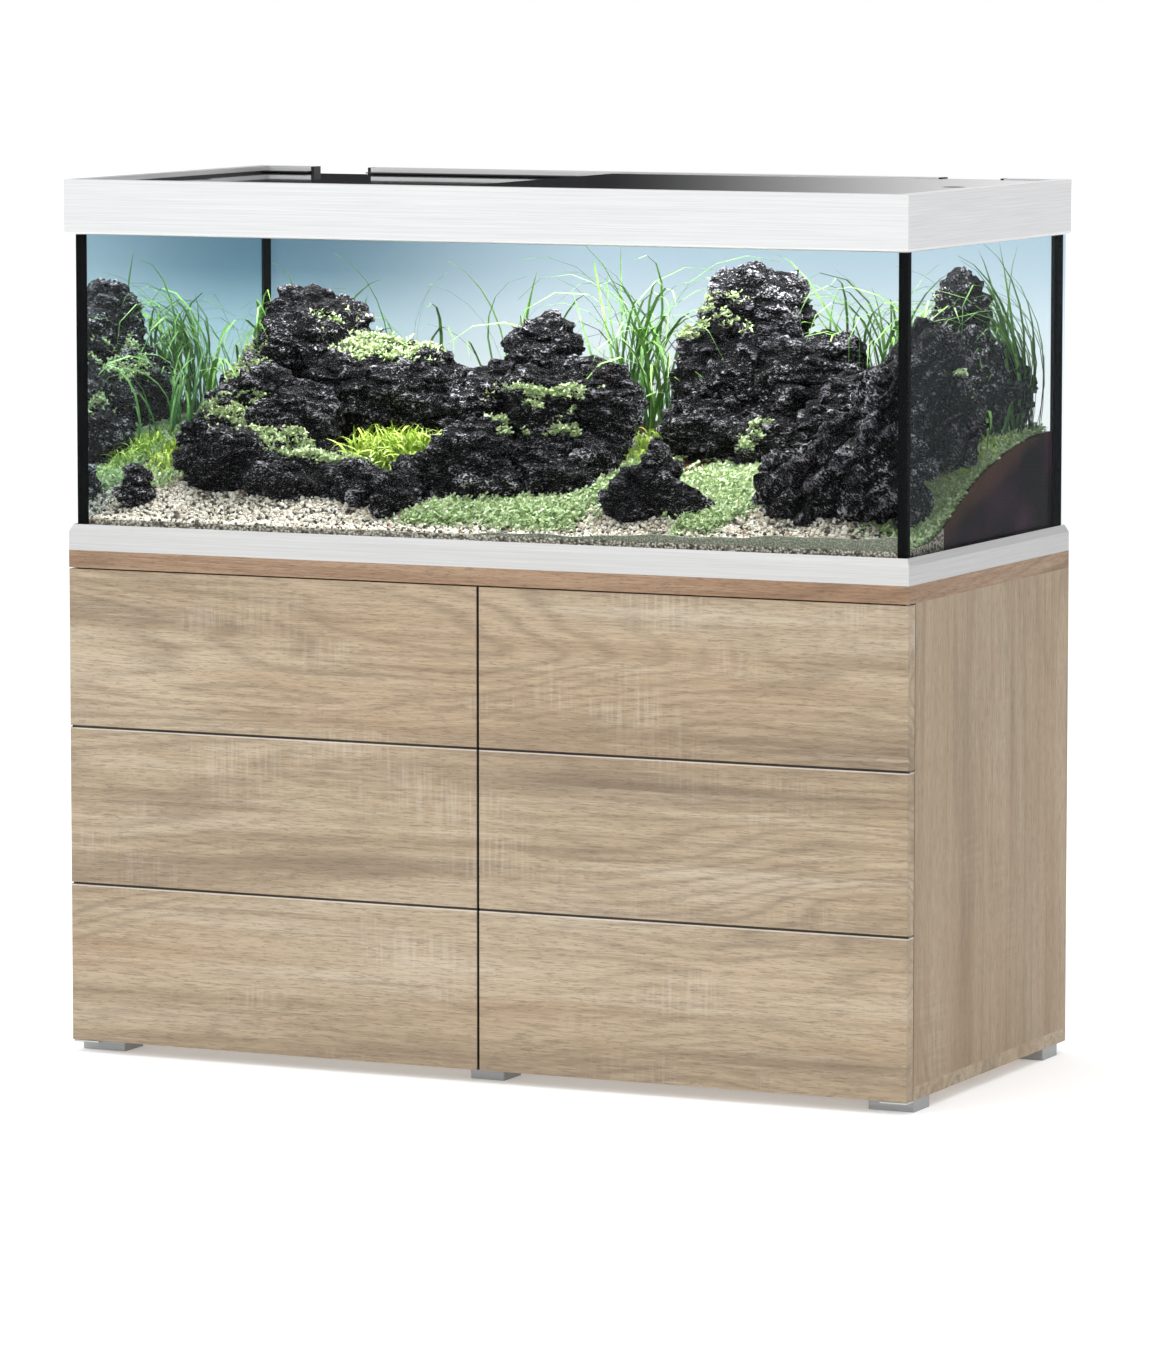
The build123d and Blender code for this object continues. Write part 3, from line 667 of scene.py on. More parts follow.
def mark_proud(rock):
    """An attribute, 1 on a ridge and 0 in a hollow: how far a point is from the smooth rock."""
    mesh = rock.data
    count = len(mesh.vertices)
    points, normals = np.empty(count * 3), np.empty(count * 3)
    mesh.vertices.foreach_get("co", points)
    mesh.vertex_normals.foreach_get("vector", normals)
    points, normals = points.reshape(-1, 3), normals.reshape(-1, 3)
    ends = np.empty(len(mesh.edges) * 2, dtype=int)
    mesh.edges.foreach_get("vertices", ends)
    first, second = ends[0::2], ends[1::2]
    near = np.bincount(ends, minlength=count)[:, None]
    smooth = points
    for _ in range(SMOOTHINGS):
        total = np.zeros_like(points)
        for axis in range(3):
            total[:, axis] = np.bincount(first, smooth[second, axis], count)
            total[:, axis] += np.bincount(second, smooth[first, axis], count)
        smooth = total / near
    height = ((points - smooth) * normals).sum(1)
    proud = mesh.attributes.new("proud", "FLOAT", "POINT")
    proud.data.foreach_set("value", np.clip(0.5 + height / (2 * PROUD_DEPTH), 0, 1))


# %% Join blocks and weather them
VOXEL = 0.0029
LAYER_SHARE = 0.6  # the part of a layer's depth that its texture really moves


def weathered(name, seed, tilt, material, layer_depth, rows, layer_size=0.014):
    """Each row is a block: its middle, its half sizes, its turn and, if it has one, its lean."""
    rock = joined([block_of_rock(seed + number, *row) for number, row in enumerate(rows)])
    rock.name = name
    remesh = rock.modifiers.new("one_skin", "REMESH")
    remesh.mode = "VOXEL"
    remesh.voxel_size = VOXEL
    bpy.ops.object.modifier_apply(modifier=remesh.name)
    guide = bpy.data.objects.new(name + "_guide", None)
    bpy.context.scene.collection.objects.link(guide)
    guide.rotation_euler = (0.0, tilt, 0.3)
    guide.scale = (2.6, 1.8, 1.0)
    for label, kind, size, depth, settings in (
        ("lumps", "CLOUDS", 0.11, 0.03, {"noise_depth": 2}),
        ("ridges", "VORONOI", 0.03, 0.009, {"noise_intensity": 1.2}),
        ("layers", "MUSGRAVE", layer_size, layer_depth * LAYER_SHARE, {"octaves": 4.0}),
        ("pits", "VORONOI", 0.011, 0.005, {"noise_intensity": 1.3}),
        ("grit", "CLOUDS", 0.005, 0.004, {"noise_depth": 2}),
    ):
        texture = bpy.data.textures.new(name + "_" + label, kind)
        texture.noise_scale = size
        for setting, value in settings.items():
            setattr(texture, setting, value)
        push = rock.modifiers.new(label, "DISPLACE")
        push.texture = texture
        push.strength = depth
        push.mid_level = 0.5
        if label in ("layers", "pits"):
            push.texture_coords = "OBJECT"
            push.texture_coords_object = guide
        bpy.context.view_layer.update()
        bpy.ops.object.modifier_apply(modifier=push.name)
    bpy.data.objects.remove(guide)
    rock.data.materials.clear()
    rock.data.materials.append(material)
    settle(rock)
    bpy.ops.object.shade_flat()
    mark_proud(rock)
    print(name, "has", sum(len(face.vertices) - 2 for face in rock.data.polygons), "triangles")
    return rock


# %% [markdown]
# ## The seven rocks
# At the left is a rounded mound with a long shoulder and low boulders in front. A ledged
# rock and a small pyramid are near the middle. At the right are a large layered block, a
# steep rock at the front and a peak at the back.

# %% Left rocks
left_stones = weathered("left_stones", 20, 0.12, lava_level, 0.014, [
    ((-0.437, 0.09, 1.005), (0.098, 0.085, 0.122), 0.4),
    ((-0.525, 0.09, 0.925), (0.065, 0.075, 0.08), 0.1),
    ((-0.345, 0.075, 0.955), (0.135, 0.09, 0.085), 0.0, 0.12),
    ((-0.25, 0.06, 0.935), (0.07, 0.075, 0.07), 0.5),
    ((-0.41, 0.09, 0.875), (0.16, 0.09, 0.06), 0.0),
    ((-0.495, 0.0, 0.93), (0.085, 0.07, 0.06), 0.2),
    ((-0.5, -0.055, 0.87), (0.09, 0.06, 0.055), 0.0),
    ((-0.405, -0.06, 0.90), (0.075, 0.062, 0.07), 0.8),
    ((-0.385, -0.085, 0.86), (0.07, 0.045, 0.045), 0.1, 0.3),
])
front_left_stones = weathered("front_left_stones", 50, 0.2, lava_level, 0.012, [
    ((-0.465, -0.13, 0.84), (0.11, 0.055, 0.055), 0.0, 0.1),
    ((-0.345, -0.145, 0.82), (0.12, 0.045, 0.042), 0.05, 0.14),
    ((-0.25, -0.155, 0.812), (0.07, 0.04, 0.035), 0.0, 0.2),
    ((-0.172, -0.185, 0.808), (0.045, 0.035, 0.036), 0.3),
    ((-0.59, -0.205, 0.81), (0.028, 0.03, 0.036), 0.3),
])

# %% Centre group and the small pyramid
centre_stones = weathered("centre_stones", 80, 0.1, lava_level, 0.014, [
    ((-0.028, -0.01, 0.998), (0.054, 0.06, 0.082), 0.5),
    ((-0.02, -0.01, 0.93), (0.115, 0.09, 0.08), 0.2),
    ((0.045, -0.01, 0.93), (0.075, 0.08, 0.085), 0.9, 0.3),
    ((-0.115, -0.02, 0.93), (0.078, 0.07, 0.062), 0.1, -0.25),
    ((0.035, -0.06, 0.865), (0.09, 0.075, 0.06), 0.3),
    ((-0.085, -0.11, 0.86), (0.08, 0.06, 0.06), 0.7),
    ((-0.07, -0.14, 0.832), (0.085, 0.042, 0.042), 0.0, 0.1),
    ((0.03, -0.11, 0.84), (0.075, 0.04, 0.038), 0.1),
    ((-0.165, -0.125, 0.845), (0.045, 0.04, 0.03), 0.2),
])
pyramid_stones = weathered("pyramid_stones", 110, 0.3, lava_level, 0.012, [
    ((0.212, -0.165, 0.866), (0.024, 0.026, 0.05), 0.5, 0.06),
    ((0.207, -0.165, 0.842), (0.046, 0.038, 0.045), 0.3, 0.0),
    ((0.195, -0.175, 0.825), (0.07, 0.045, 0.05), 0.2, -0.15),
    ((0.262, -0.165, 0.81), (0.05, 0.035, 0.032), 0.1, 0.15),
])

# %% Right group: the large layered block, the steep front rock and the far peak
right_stones = weathered("right_stones", 140, 0.08, lava_level, 0.018, [
    ((0.235, 0.12, 0.975), (0.125, 0.095, 0.1), 0.0),
    ((0.228, 0.13, 1.05), (0.092, 0.075, 0.075), 0.3, 0.1),
    ((0.215, 0.13, 1.09), (0.055, 0.055, 0.05), 0.5),
    ((0.335, 0.11, 0.975), (0.085, 0.09, 0.095), 0.4, 0.4),
    ((0.22, 0.07, 0.9), (0.1, 0.07, 0.045), 0.0, 0.08),
    ((0.32, 0.03, 0.885), (0.09, 0.06, 0.045), 0.0, 0.1),
    ((0.42, 0.07, 0.915), (0.09, 0.085, 0.09), 0.0),
])
front_right_stones = weathered("front_right_stones", 170, -0.75, lava_steep, 0.03, [
    ((0.565, -0.09, 0.995), (0.05, 0.06, 0.085), 0.2, 0.6),
    ((0.528, -0.07, 0.945), (0.05, 0.055, 0.07), 0.3, 0.7),
    ((0.5, -0.11, 0.885), (0.075, 0.065, 0.07), 0.1, 0.75),
    ((0.44, -0.145, 0.825), (0.09, 0.055, 0.055), 0.0, 0.5),
    ((0.55, -0.14, 0.86), (0.055, 0.06, 0.095), 0.2),
    ((0.57, 0.0, 0.93), (0.05, 0.07, 0.065), 0.3),
], layer_size=0.022)
peak_stones = weathered("peak_stones", 200, -0.5, lava_steep, 0.014, [
    ((0.54, 0.15, 1.052), (0.042, 0.048, 0.078), 0.3),
    ((0.54, 0.15, 0.995), (0.064, 0.066, 0.08), 0.5),
    ((0.53, 0.15, 0.94), (0.085, 0.085, 0.09), 0.7),
    ((0.59, 0.21, 0.965), (0.035, 0.05, 0.045), 0.0),
])
rocks = [left_stones, front_left_stones, centre_stones, pyramid_stones]
rocks += [right_stones, front_right_stones, peak_stones]

# %% [markdown]
# ## The ground
# White gravel lies in front, and dark soil rises behind it towards the back glass. One
# function gives the ground's height, and both beds, the pebbles and every plant use it.

# %% The height of the ground
gravel_low, gravel_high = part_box("gravel_bed")
soil_low, soil_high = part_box("soil_bed")


def step(value, low, high):
    """A smooth step from 0 at low to 1 at high."""
    share = clamp((value - low) / (high - low), 0.0, 1.0)
    return share * share * (3 - 2 * share)


SLOPE, BACK_SLOPE = 0.118, 0.01  # how far the ground rises to the middle, and then to the back
BANK = 0.024  # how high a low bank stands behind the open gravel


def ground(x, y):
    rise = step(y, -0.25, 0.17) * SLOPE + step(y, 0.1, 0.3) * BACK_SLOPE
    bank = BANK * step(y, -0.26, -0.17) * (1 - step(y, -0.1, 0.05)) * (1 - step(x, 0.45, 0.6))
    waves = 0.003 * math.sin(x * 23 + y * 17) + 0.002 * math.sin(x * 41 - y * 29)
    return gravel_high[2] - 0.003 + rise + bank + waves * step(y, -0.275, -0.2)


print("Ground at the front, middle and back:", [round(ground(0, y), 3) for y in (-0.27, 0, 0.28)])

# %% Two beds with a shaped top
THICK = 0.02  # a bed's height before its top takes the ground's shape


def bed(name, low, high, node, material, columns, rows):
    begin()
    bpy.ops.mesh.primitive_grid_add(x_subdivisions=columns, y_subdivisions=rows, size=1.0)
    layer = bpy.context.object
    layer.name = name
    layer.scale = (high[0] - low[0], high[1] - low[1], 1.0)
    layer.location = ((low[0] + high[0]) / 2, (low[1] + high[1]) / 2, low[2])
    settle(layer)
    edit_all()
    bpy.ops.mesh.extrude_region_move(TRANSFORM_OT_translate={"value": (0, 0, THICK)})
    edit_done()
    for vertex in layer.data.vertices:
        if vertex.co.z > low[2] + THICK / 2:
            vertex.co.z = ground(vertex.co.x, vertex.co.y)
    edit_all()
    bpy.ops.mesh.normals_make_consistent(inside=False)
    edit_done()
    layer.data.materials.append(material)
    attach(layer, "aquarium")
    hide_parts(node)
    print(name, "has", len(layer.data.polygons), "faces")
    return layer


# %% Gravel and soil finishes
def gravel_finish():
    gravel = Finish("gravel_bed_grain")
    edge = gravel.cells(gravel.place(), 260.0)
    pick = gravel.node("ShaderNodeSeparateColor", {}, {0: gravel.cells(gravel.place(), 260.0, 1)})
    colour = gravel.ramp(
        pick,
        (0.0, tint(70, 62, 56)),
        (0.16, tint(120, 108, 94)),
        (0.24, tint(214, 202, 184)),
        (0.7, tint(240, 234, 222)),
        (1.0, tint(188, 170, 146)),
    )
    shaded = gravel.mix(edge.between(0.25, 0.7) * 0.75, colour, tint(70, 60, 50))
    return gravel.surface(
        Base_Color=shaded, Roughness=0.7 + edge * 0.1, Normal=gravel.bump(1 - edge, 0.0025)
    )


def soil_finish():
    soil = Finish("soil_grain")
    grains = soil.cells(soil.place(), 330.0)
    drift = soil.clouds(soil.place(), 8.0, 3.0)
    fine = soil.clouds(soil.place(), 500.0, 2.0)
    _, back, up = soil.xyz()
    level = up - 0.835 - back * 0.33 + (drift - 0.5) * 0.04 + (fine - 0.5) * 0.09
    near_top = level.between(-0.03, 0.012)
    deep = soil.mix(drift.between(0.35, 0.7), tint(28, 10, 20), tint(80, 44, 66))
    upper = soil.mix(fine.between(0.45, 0.65), tint(60, 36, 26), tint(150, 104, 74))
    colour = soil.mix(near_top * 0.8, deep, upper)
    return soil.surface(
        Base_Color=colour,
        Roughness=0.8 + fine * 0.15,
        Specular_IOR_Level=0.1,
        Normal=soil.bump(1 - grains, 0.0018),
    )


gravel_grain = gravel_finish()
soil_grain = soil_finish()
gravel_ground = bed("gravel_ground", gravel_low, gravel_high, "gravel_bed", gravel_grain, 200, 26)
soil_ground = bed("soil_ground", soil_low, soil_high, "soil_bed", soil_grain, 160, 60)
for rock in rocks:
    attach(rock, "aquarium")
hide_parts("left_rocks")
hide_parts("left_rocks")
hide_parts("centre_rocks")
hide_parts("centre_rocks")
for rock in (right_stones, front_right_stones, peak_stones):
    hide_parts("right_rocks")

# %% [markdown]
# ## Pebbles
# Loose pebbles cover the gravel. One rough pebble has twenty faces, and each copy is turned,
# squashed and sized by chance, with a number that the material turns into its colour.

# %% One pebble and its finish
def pebble_finish():
    pebble = Finish("pebbles")
    tone = pebble.read("tone")
    speck = pebble.clouds(pebble.place(), 700.0, 2.0)
    colour = pebble.ramp(
        tone,
        (0.0, tint(28, 25, 26)),
        (0.22, tint(66, 60, 58)),
        (0.25, tint(206, 192, 172)),
        (0.6, tint(238, 232, 220)),
        (0.85, tint(250, 247, 240)),
        (1.0, tint(178, 152, 122)),
    )
    return pebble.surface(
        Base_Color=pebble.mix(speck.between(0.4, 0.8) * 0.3, colour, tint(150, 138, 124)),
        Roughness=0.5 + speck * 0.2,
        Normal=pebble.bump(speck, 0.0004),
    )


begin()
bpy.ops.mesh.primitive_ico_sphere_add(subdivisions=1, radius=1.0)
edit_all()
bpy.ops.transform.vertex_random(offset=0.22, seed=3)
edit_done()
pebble_shape = taken_shape(bpy.context.object)

# %% Spread the pebbles
PEBBLES = 7000
STRIP = 0.17  # how far back from the front edge the pebbles lie
chance = random.Random(11)
pebble_places, pebble_tones = [], []
for _ in range(PEBBLES):
    x = chance.uniform(gravel_low[0] + 0.006, gravel_high[0] - 0.006)
    y = gravel_low[1] + 0.004 + STRIP * chance.random() ** 1.25
    size = chance.uniform(0.0016, 0.0034) * (1.4 if chance.random() < 0.1 else 1.0)
    turn = Euler((chance.uniform(0, 6.28), chance.uniform(0, 6.28), chance.uniform(0, 6.28)))
    z = ground(x, y) + size * 0.25
    flat = Matrix.Diagonal((size * 1.25, size, size * 0.75, 1.0))
    pebble_places.append(Matrix.Translation((x, y, z)) @ turn.to_matrix().to_4x4() @ flat)
    pebble_tones.append(chance.random())
pebbles = copies("loose_pebbles", pebble_shape, pebble_places, pebble_tones, pebble_finish())
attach(pebbles, "aquarium")
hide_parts("gravel_bed")


# %% [markdown]
# ## Grasses
# A blade is a long grid: it is narrowed towards its tip, and each row above the root is
# turned a little more than the one below. Five bends give enough variety once the copies
# are turned and sized.

# %% One blade
ROWS = 8
BLADE_WIDTH = 0.0095
FLARE = 0.55  # how much wider a blade is above its root


def blade(bend):
    begin()
    bpy.ops.mesh.primitive_grid_add(x_subdivisions=2, y_subdivisions=ROWS, size=1.0)
    leaf = bpy.context.object
    leaf.scale = (BLADE_WIDTH, 1.0, 1.0)
    leaf.rotation_euler = (math.pi / 2, 0, 0)
    leaf.location = (0, 0, 0.5)
    settle(leaf)
    for vertex in leaf.data.vertices:
        share = vertex.co.z
        wider = 0.6 + FLARE * math.sin(min(1.0, share * 1.6) * math.pi / 2)
        vertex.co.x *= wider * (1.04 - share**3)
        if abs(vertex.co.x) < BLADE_WIDTH * 0.02:
            vertex.co.y += BLADE_WIDTH * 0.16
    for row in range(1, ROWS):
        bpy.ops.object.mode_set(mode="EDIT")
        bpy.ops.mesh.select_all(action="DESELECT")
        edit_done()
        keys = leaf.data.vertices
        level = [v for v in keys if v.index // 3 == row]
        pivot = sum((v.co for v in level), Vector()) / len(level)
        for vertex in keys:
            vertex.select = vertex.index // 3 > row
        bpy.ops.object.mode_set(mode="EDIT")
        bpy.ops.transform.rotate(
            value=bend * 2 * row / (ROWS * (ROWS - 1)), orient_axis="X", center_override=pivot
        )
        edit_done()
    return taken_shape(leaf)


blade_shapes = [blade(bend) for bend in (0.5, 1.1, 1.7, 2.4, 3.0)]


# %% Leaf finishes, darker at the root and paler at the tip: painted shade low in a clump, and a painted highlight on top that is near white on the carpets
def leaf_finish(name, root, body, tip):
    leaf = Finish(name)
    tone, reach = leaf.read("tone"), leaf.read("reach")
    ribs = leaf.clouds(leaf.stretch(leaf.place(), (900, 900, 14)), 1.0, 2.0)
    colour = leaf.ramp(reach, (0.0, root), (0.45, body), (1.0, tip))
    shaded = leaf.mix(tone * 0.55, colour, shade(body, 0.5))
    pale = leaf.mix(tone.between(0.8, 1.0) * 0.6, shaded, tip)
    return leaf.surface(
        Base_Color=leaf.mix(ribs.between(0.45, 0.7) * 0.25, pale, root),
        Roughness=0.42 + ribs * 0.1,
        Normal=leaf.bump(ribs, 0.0002),
        # Painted glow: the leaves give off a little light of their own colour, though they are no
        # lamp
        Emission_Color=pale,
        Emission_Strength=0.05,
    )


grass_green = leaf_finish("tall_grass", tint(12, 46, 22), tint(46, 104, 38), tint(122, 166, 76))
fresh_green = leaf_finish("low_grass", tint(60, 104, 18), tint(116, 160, 34), tint(190, 212, 82))
carpet_green = leaf_finish(
    "carpet_leaves", tint(62, 92, 42), tint(160, 192, 122), tint(248, 250, 224)
)
pale_green = leaf_finish("ledge_leaves", tint(60, 88, 40), tint(150, 174, 108), tint(228, 234, 204))


# %% Tall grass
# How far from the middle, and how near the front and back, a root and a whole blade may be
ROOT_SIDE, ROOT_FRONT, ROOT_BACK = 0.622, -0.268, 0.278
BLADE_SIDE, BLADE_FRONT, BLADE_BACK = 0.628, -0.275, 0.283
TRIES = 16  # a blade that pokes through the glass is turned again, this many times
SUNK = 0.004  # how deep in the ground a root starts


def grass(name, material, seed, narrow, clumps, spread=0.2):
    """Each clump: middle x and y, half sizes, how many, lowest and highest blade, and its bend."""
    chance = random.Random(seed)
    groups = {index: ([], []) for index in range(len(blade_shapes))}
    for x, y, half_x, half_y, count, low, high, curl in clumps:
        for _ in range(count):
            px = clamp(x + chance.gauss(0, 0.5) * half_x, -ROOT_SIDE, ROOT_SIDE)
            py = clamp(y + chance.gauss(0, 0.5) * half_y, ROOT_FRONT, ROOT_BACK)
            pz = ground(px, py) - SUNK
            height = chance.uniform(low, high)
            kind = clamp(round(chance.gauss(curl, 1.1)), 0, len(blade_shapes) - 1)
            wide = chance.uniform(0.45, 1.0) * narrow
            height *= 1 + 0.09 * kind
            root = Matrix.Translation((px, py, pz))
            size = Matrix.Diagonal((wide, height, height, 1.0))
            middle = [v.co for v in list(blade_shapes[kind].vertices)[1::3]]
            for _ in range(TRIES):
                place = root @ leaning(chance, spread) @ size
                along = [place @ point for point in middle]
                if all(abs(q.x) < BLADE_SIDE and BLADE_FRONT < q.y < BLADE_BACK for q in along):
                    break
            else:
                place = root @ Matrix.Diagonal((wide, -height * 0.3, height, 1.0))
            groups[kind][0].append(place)
            groups[kind][1].append(chance.random())
    whole = joined(
        [
            copies(f"{name}_{kind}", blade_shapes[kind], places, tones, material)
            for kind, (places, tones) in groups.items()
            if places
        ]
    )
    whole.name = name
    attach(whole, "aquarium")
    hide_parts("plants")
    print(name, "reaches", round(max(v.co.z for v in whole.data.vertices), 3), "m")


grass("tall_grass", grass_green, 31, 0.58, [
    (-0.56, 0.19, 0.06, 0.07, 64, 0.14, 0.25, 3.3),
    (-0.6, 0.06, 0.02, 0.07, 26, 0.1, 0.18, 2.9),
    (-0.5, 0.22, 0.05, 0.04, 26, 0.12, 0.22, 2.4),
    (-0.36, 0.24, 0.04, 0.02, 7, 0.17, 0.26, 1.2),
    (-0.2, 0.24, 0.05, 0.02, 12, 0.15, 0.26, 1.6),
    (-0.14, 0.22, 0.02, 0.02, 5, 0.12, 0.18, 1.6),
    (0.03, 0.17, 0.03, 0.04, 40, 0.2, 0.33, 2.4),
    (0.09, 0.13, 0.03, 0.05, 44, 0.12, 0.24, 3.0),
    (0.4, 0.24, 0.07, 0.03, 62, 0.18, 0.29, 2.6),
    (0.6, 0.22, 0.03, 0.05, 90, 0.18, 0.3, 2.4),
    (0.58, 0.13, 0.03, 0.05, 20, 0.06, 0.13, 2.8),
])

# %% Short bright grass
grass("low_grass", fresh_green, 37, 0.42, [
    (-0.25, -0.05, 0.062, 0.03, 1000, 0.03, 0.068, 2.2),
    (-0.6, -0.05, 0.025, 0.07, 420, 0.018, 0.04, 2.2),
    (0.115, 0.05, 0.035, 0.06, 300, 0.018, 0.04, 2.2),
    (0.61, 0.05, 0.02, 0.1, 300, 0.012, 0.03, 2.2),
], spread=0.45)

# %% [markdown]
# ## Carpets of small leaves
# A tuft is four small folded leaves. Thousands of tufts cover ledges on the rocks and the
# slope between gravel and soil.

# %% One tuft
begin()
leaves = []
for number in range(4):
    bpy.ops.mesh.primitive_plane_add(size=1.0, location=(0, 0, 0))
    leaf = bpy.context.object
    leaf.scale = (0.32, 0.62, 1.0)
    settle(leaf)
    edit_all()
    bpy.ops.transform.rotate(value=math.pi / 4, orient_axis="Z", center_override=(0, 0, 0))
    edit_done()
    for vertex in leaf.data.vertices:
        vertex.co.z += 0.12 * (abs(vertex.co.x) + abs(vertex.co.y))
    tier = number % 3
    leaf.rotation_euler = (0.5 + 0.25 * tier, 0, number * math.tau / 4)
    side, front = 0.32 * math.sin(number * 2.1), 0.32 * math.cos(number * 1.7)
    leaf.location = (side, front, 0.25 + 0.16 * tier)
    settle(leaf)
    leaves.append(leaf)
tuft_shape = taken_shape(joined(leaves))


# %% Lay the carpets
LEAF_SIDE, LEAF_FRONT, LEAF_BACK = 0.626, -0.272, 0.28  # as for roots, to stay inside the glass
SLACK = 0.034  # a ledge's points may be this far above or below its height
STEEPEST = 0.2  # the least upward part of a normal that still holds leaves


def flat_spot(x, y, level):
    """The height of the rock or ground under x, y, if it is near level and not too steep."""
    best, up = ground(x, y), 1.0
    for rock in rocks:
        hit, spot, normal, _ = rock.ray_cast(Vector((x, y, level + SLACK)), Vector((0, 0, -1)))
        if hit and spot.z > best:
            best, up = spot.z, normal.z
    return best if abs(best - level) < SLACK and up > STEEPEST else None


def carpet(name, material, seed, patches):
    """Each patch: middle x and y, half sizes, how many tufts, their size, and a ledge's height."""
    chance = random.Random(seed)
    places, tones = [], []
    for x, y, half_x, half_y, count, size, *level in patches:
        for _ in range(count):
            angle = chance.uniform(0, math.tau)
            reach = chance.random() ** 0.6 * (1.35 if chance.random() < 0.2 else 1.0)
            px = clamp(x + half_x * reach * math.cos(angle), -LEAF_SIDE, LEAF_SIDE)
            py = clamp(y + half_y * reach * math.sin(angle), LEAF_FRONT, LEAF_BACK)
            pz = flat_spot(px, py, *level) if level else ground(px, py)
            if pz is None:
                continue
            turn = leaning(chance, 0.35)
            each = size * chance.uniform(0.6, 1.3)
            spot = Matrix.Translation((px, py, pz - each * 0.1 + chance.random() * each * 0.8))
            places.append(spot @ turn @ Matrix.Diagonal((each, each, each, 1.0)))
            tones.append(chance.random())
    piece = copies(name, tuft_shape, places, tones, material)
    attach(piece, "aquarium")
    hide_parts("plants")


carpet("ground_carpet", carpet_green, 41, [
    (-0.6, -0.13, 0.03, 0.05, 700, 0.0084),
    (-0.59, 0.0, 0.045, 0.1, 1300, 0.0086),
    (-0.27, -0.1, 0.07, 0.05, 1200, 0.0084),
    (-0.17, -0.02, 0.05, 0.06, 500, 0.0086),
    (-0.1, -0.21, 0.06, 0.025, 800, 0.0082),
    (0.03, -0.19, 0.085, 0.045, 2000, 0.0082),
    (0.1, -0.11, 0.04, 0.06, 900, 0.0082),
    (0.11, 0.02, 0.05, 0.08, 1100, 0.0086),
    (0.3, -0.15, 0.05, 0.075, 2200, 0.0082),
    (0.26, -0.08, 0.07, 0.06, 1900, 0.0082),
    (0.36, -0.08, 0.05, 0.06, 1300, 0.0082),
    (0.61, -0.1, 0.025, 0.12, 1800, 0.0084),
    (0.56, -0.05, 0.06, 0.12, 1600, 0.0084),
    (0.31, -0.02, 0.09, 0.06, 1500, 0.0084),
    (0.61, 0.08, 0.025, 0.16, 2200, 0.0086),
    (0.55, 0.25, 0.08, 0.03, 500, 0.0086),
])
carpet("ledge_carpet", pale_green, 43, [
    (-0.335, 0.05, 0.085, 0.035, 1500, 0.0066, 1.02),
    (-0.5, -0.06, 0.045, 0.03, 900, 0.0066, 0.905),
    (-0.52, 0.03, 0.05, 0.03, 500, 0.0066, 0.975),
    (-0.36, -0.13, 0.09, 0.025, 1300, 0.0066, 0.86),
    (0.0, -0.085, 0.07, 0.036, 2600, 0.0066, 0.93),
    (0.17, 0.06, 0.07, 0.034, 2200, 0.0066, 1.06),
    (0.3, -0.03, 0.034, 0.02, 500, 0.0066, 0.9),
    (0.575, 0.0, 0.035, 0.05, 1000, 0.0066, 0.985),
])

# %% [markdown]
# ## Fine sand against the front glass
# Behind the front pane a thin layer of grey-green sand shows, thicker towards the right end.

# %% The sand layer
def sand_finish():
    sand = Finish("fine_sand")
    grains = sand.clouds(sand.place(), 900.0, 3.0, 0.7)
    colour = sand.ramp(
        grains * 0.6 + sand.cells(sand.place(), 420.0) * 0.5,
        (0.28, tint(66, 72, 60)),
        (0.5, tint(118, 122, 104)),
        (0.8, tint(186, 186, 170)),
    )
    return sand.surface(
        Base_Color=colour, Roughness=0.8 + grains * 0.1, Normal=sand.bump(grains, 0.0015)
    )


begin()
bpy.ops.mesh.primitive_grid_add(x_subdivisions=120, y_subdivisions=1, size=1.0)
front_sand = bpy.context.object
front_sand.name = "front_sand"
front_sand.rotation_euler = (math.pi / 2, 0, 0)
settle(front_sand)
sand_left, sand_right = -0.25, gravel_high[0]
sand_low, sand_rise = 0.768, 0.022  # the top's height at the left end, and its rise to the right
sand_gap, sand_depth = 0.0005, 0.006  # off the gravel's front, and from front to back
for vertex in front_sand.data.vertices:
    along = vertex.co.x + 0.5
    x = sand_left + (sand_right - sand_left) * along
    waves = 0.0016 * math.sin(x * 31) + 0.001 * math.sin(x * 73 + 1)
    top = sand_low + sand_rise * along**1.2 + waves
    vertex.co = (x, gravel_low[1] + sand_gap, top if vertex.co.z > 0 else gravel_low[2])
edit_all()
bpy.ops.mesh.extrude_region_move(TRANSFORM_OT_translate={"value": (0, sand_depth, 0)})
edit_all()
bpy.ops.mesh.normals_make_consistent(inside=False)
edit_done()
front_sand.data.materials.append(sand_finish())
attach(front_sand, "aquarium")
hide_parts("gravel_bed")
print("The sand is", round(front_sand.dimensions.x, 3), "m long")

# %% [markdown]
# ## Studio
# A pale floor, a bright room and soft lamps. The room is a little dimmer to the right, so
# the end of the cabinet reads as a second plane. Low at the back left it has a dark patch,
# for the glossy covers to mirror. The tank's own lamps are two long lights under their
# lenses.

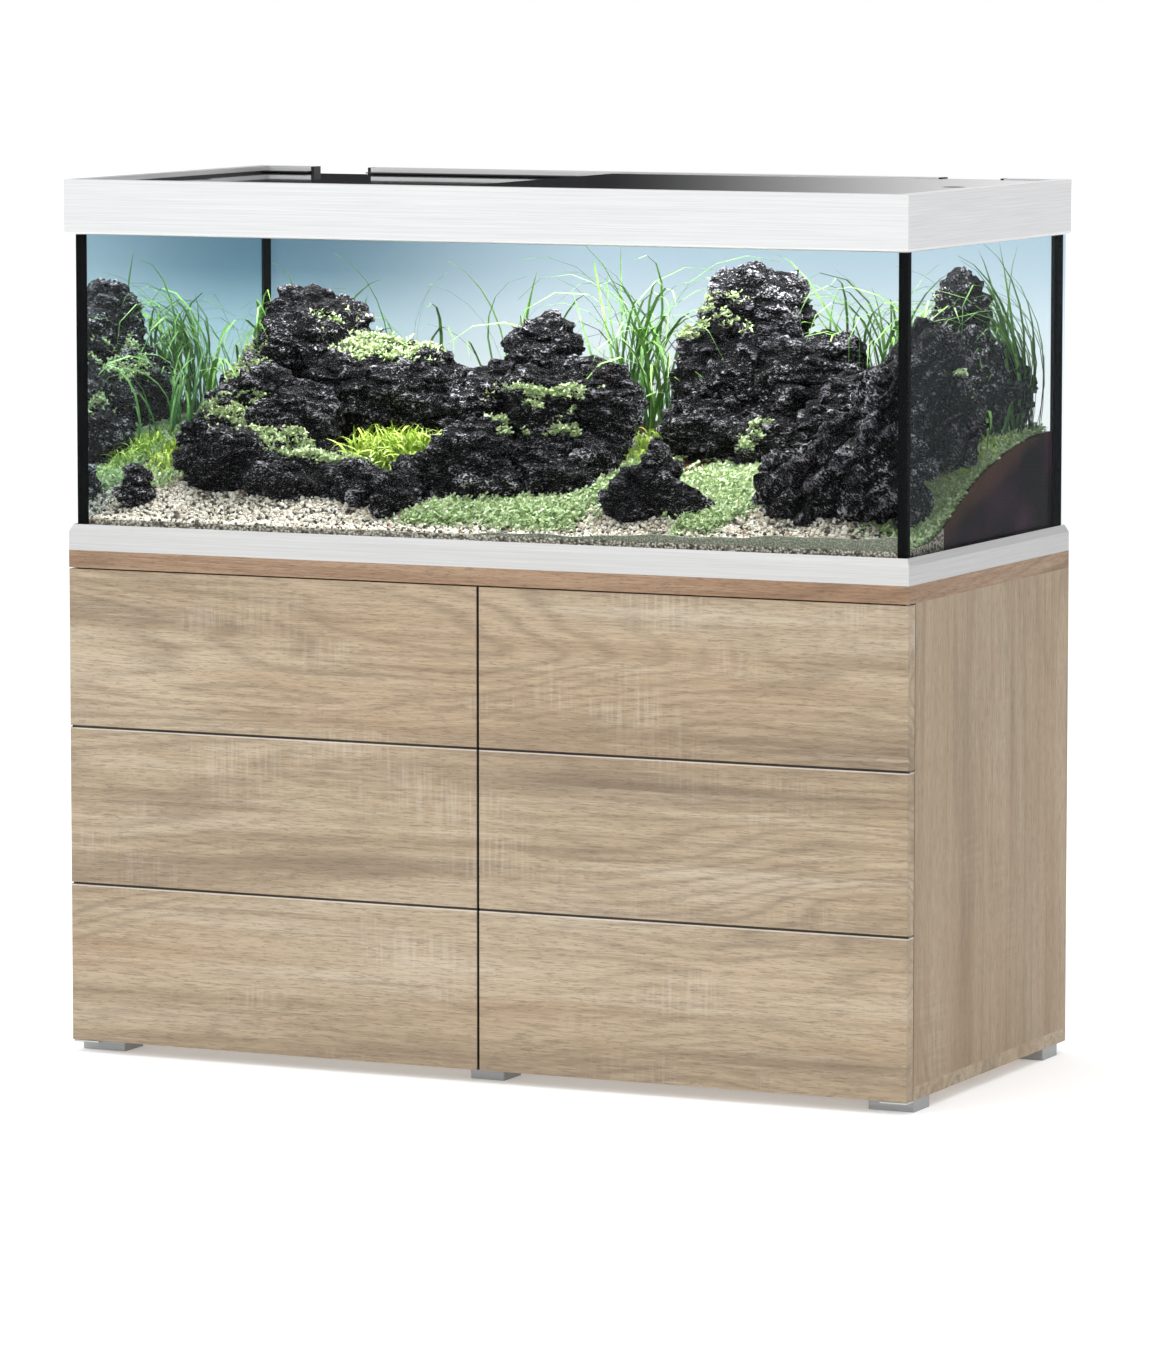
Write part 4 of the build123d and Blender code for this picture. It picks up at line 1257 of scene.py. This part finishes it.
# %% Floor and room
begin()
bpy.ops.mesh.primitive_plane_add(size=60.0, location=(0, 0, cad_size[0][2]))
floor = bpy.context.object
floor.name = "studio_floor"
floor_finish = Finish("studio_floor")
drift = floor_finish.clouds(floor_finish.place(), 0.5, 2.0)
floor.data.materials.append(
    floor_finish.surface(
        Base_Color=floor_finish.mix(drift, (0.9, 0.9, 0.9, 1.0), (0.92, 0.92, 0.92, 1.0)),
        Roughness=0.9,
        Specular_IOR_Level=0.0,
        Emission_Color=WHITE,
        Emission_Strength=0.3,
    )
)

room = Finish("studio_room", world=True)
x, y, z = room.xyz(room.node("ShaderNodeTexCoord"))
walls = room.ramp(x, (0.1, WHITE), (0.9, (0.55, 0.56, 0.58, 1.0)))
above, below = z.between(0.0, 0.015), z.between(0.42, 0.3)
patch = above * below * y.between(0.5, 0.75) * x.between(-0.35, -0.421)
walls = room.mix(patch, walls, (0.03, 0.03, 0.032, 1.0))
room.end(room.node("ShaderNodeBackground", {}, {0: walls}))
bpy.context.scene.world = room.material


# %% Lamps
def soft_lamp(name, place, aim, size, power, long_side=None):
    data = bpy.data.lights.new(name, "AREA")
    data.shape = "RECTANGLE"
    data.size = long_side or size
    data.size_y = size
    data.energy = power
    lamp = bpy.data.objects.new(name, data)
    bpy.context.scene.collection.objects.link(lamp)
    lamp.location = place
    lamp.rotation_euler = (Vector(place) - Vector(aim)).to_track_quat("Z", "Y").to_euler()


soft_lamp("key_lamp", (-2.2, -4.6, 3.0), (0, 0, 0.6), 2.4, 16)
soft_lamp("top_lamp", (0.2, -0.6, 4.4), (0, 0, 0), 3.4, 60)
lens_low, lens_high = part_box("lamp_lenses")
INSET, UNDER, WIDE, POWER = 0.03, 0.004, 0.04, 7.2
for number, y in enumerate((lens_low[1] + INSET, lens_high[1] - INSET)):
    spot = (0, y, lens_low[2] - UNDER)
    soft_lamp(f"tank_lamp_{number}", spot, (0, y, 0.5), WIDE, POWER, lens_high[0] - lens_low[0])

bpy.context.scene.view_settings.view_transform = "Standard"
bpy.context.scene.view_settings.look = "None"
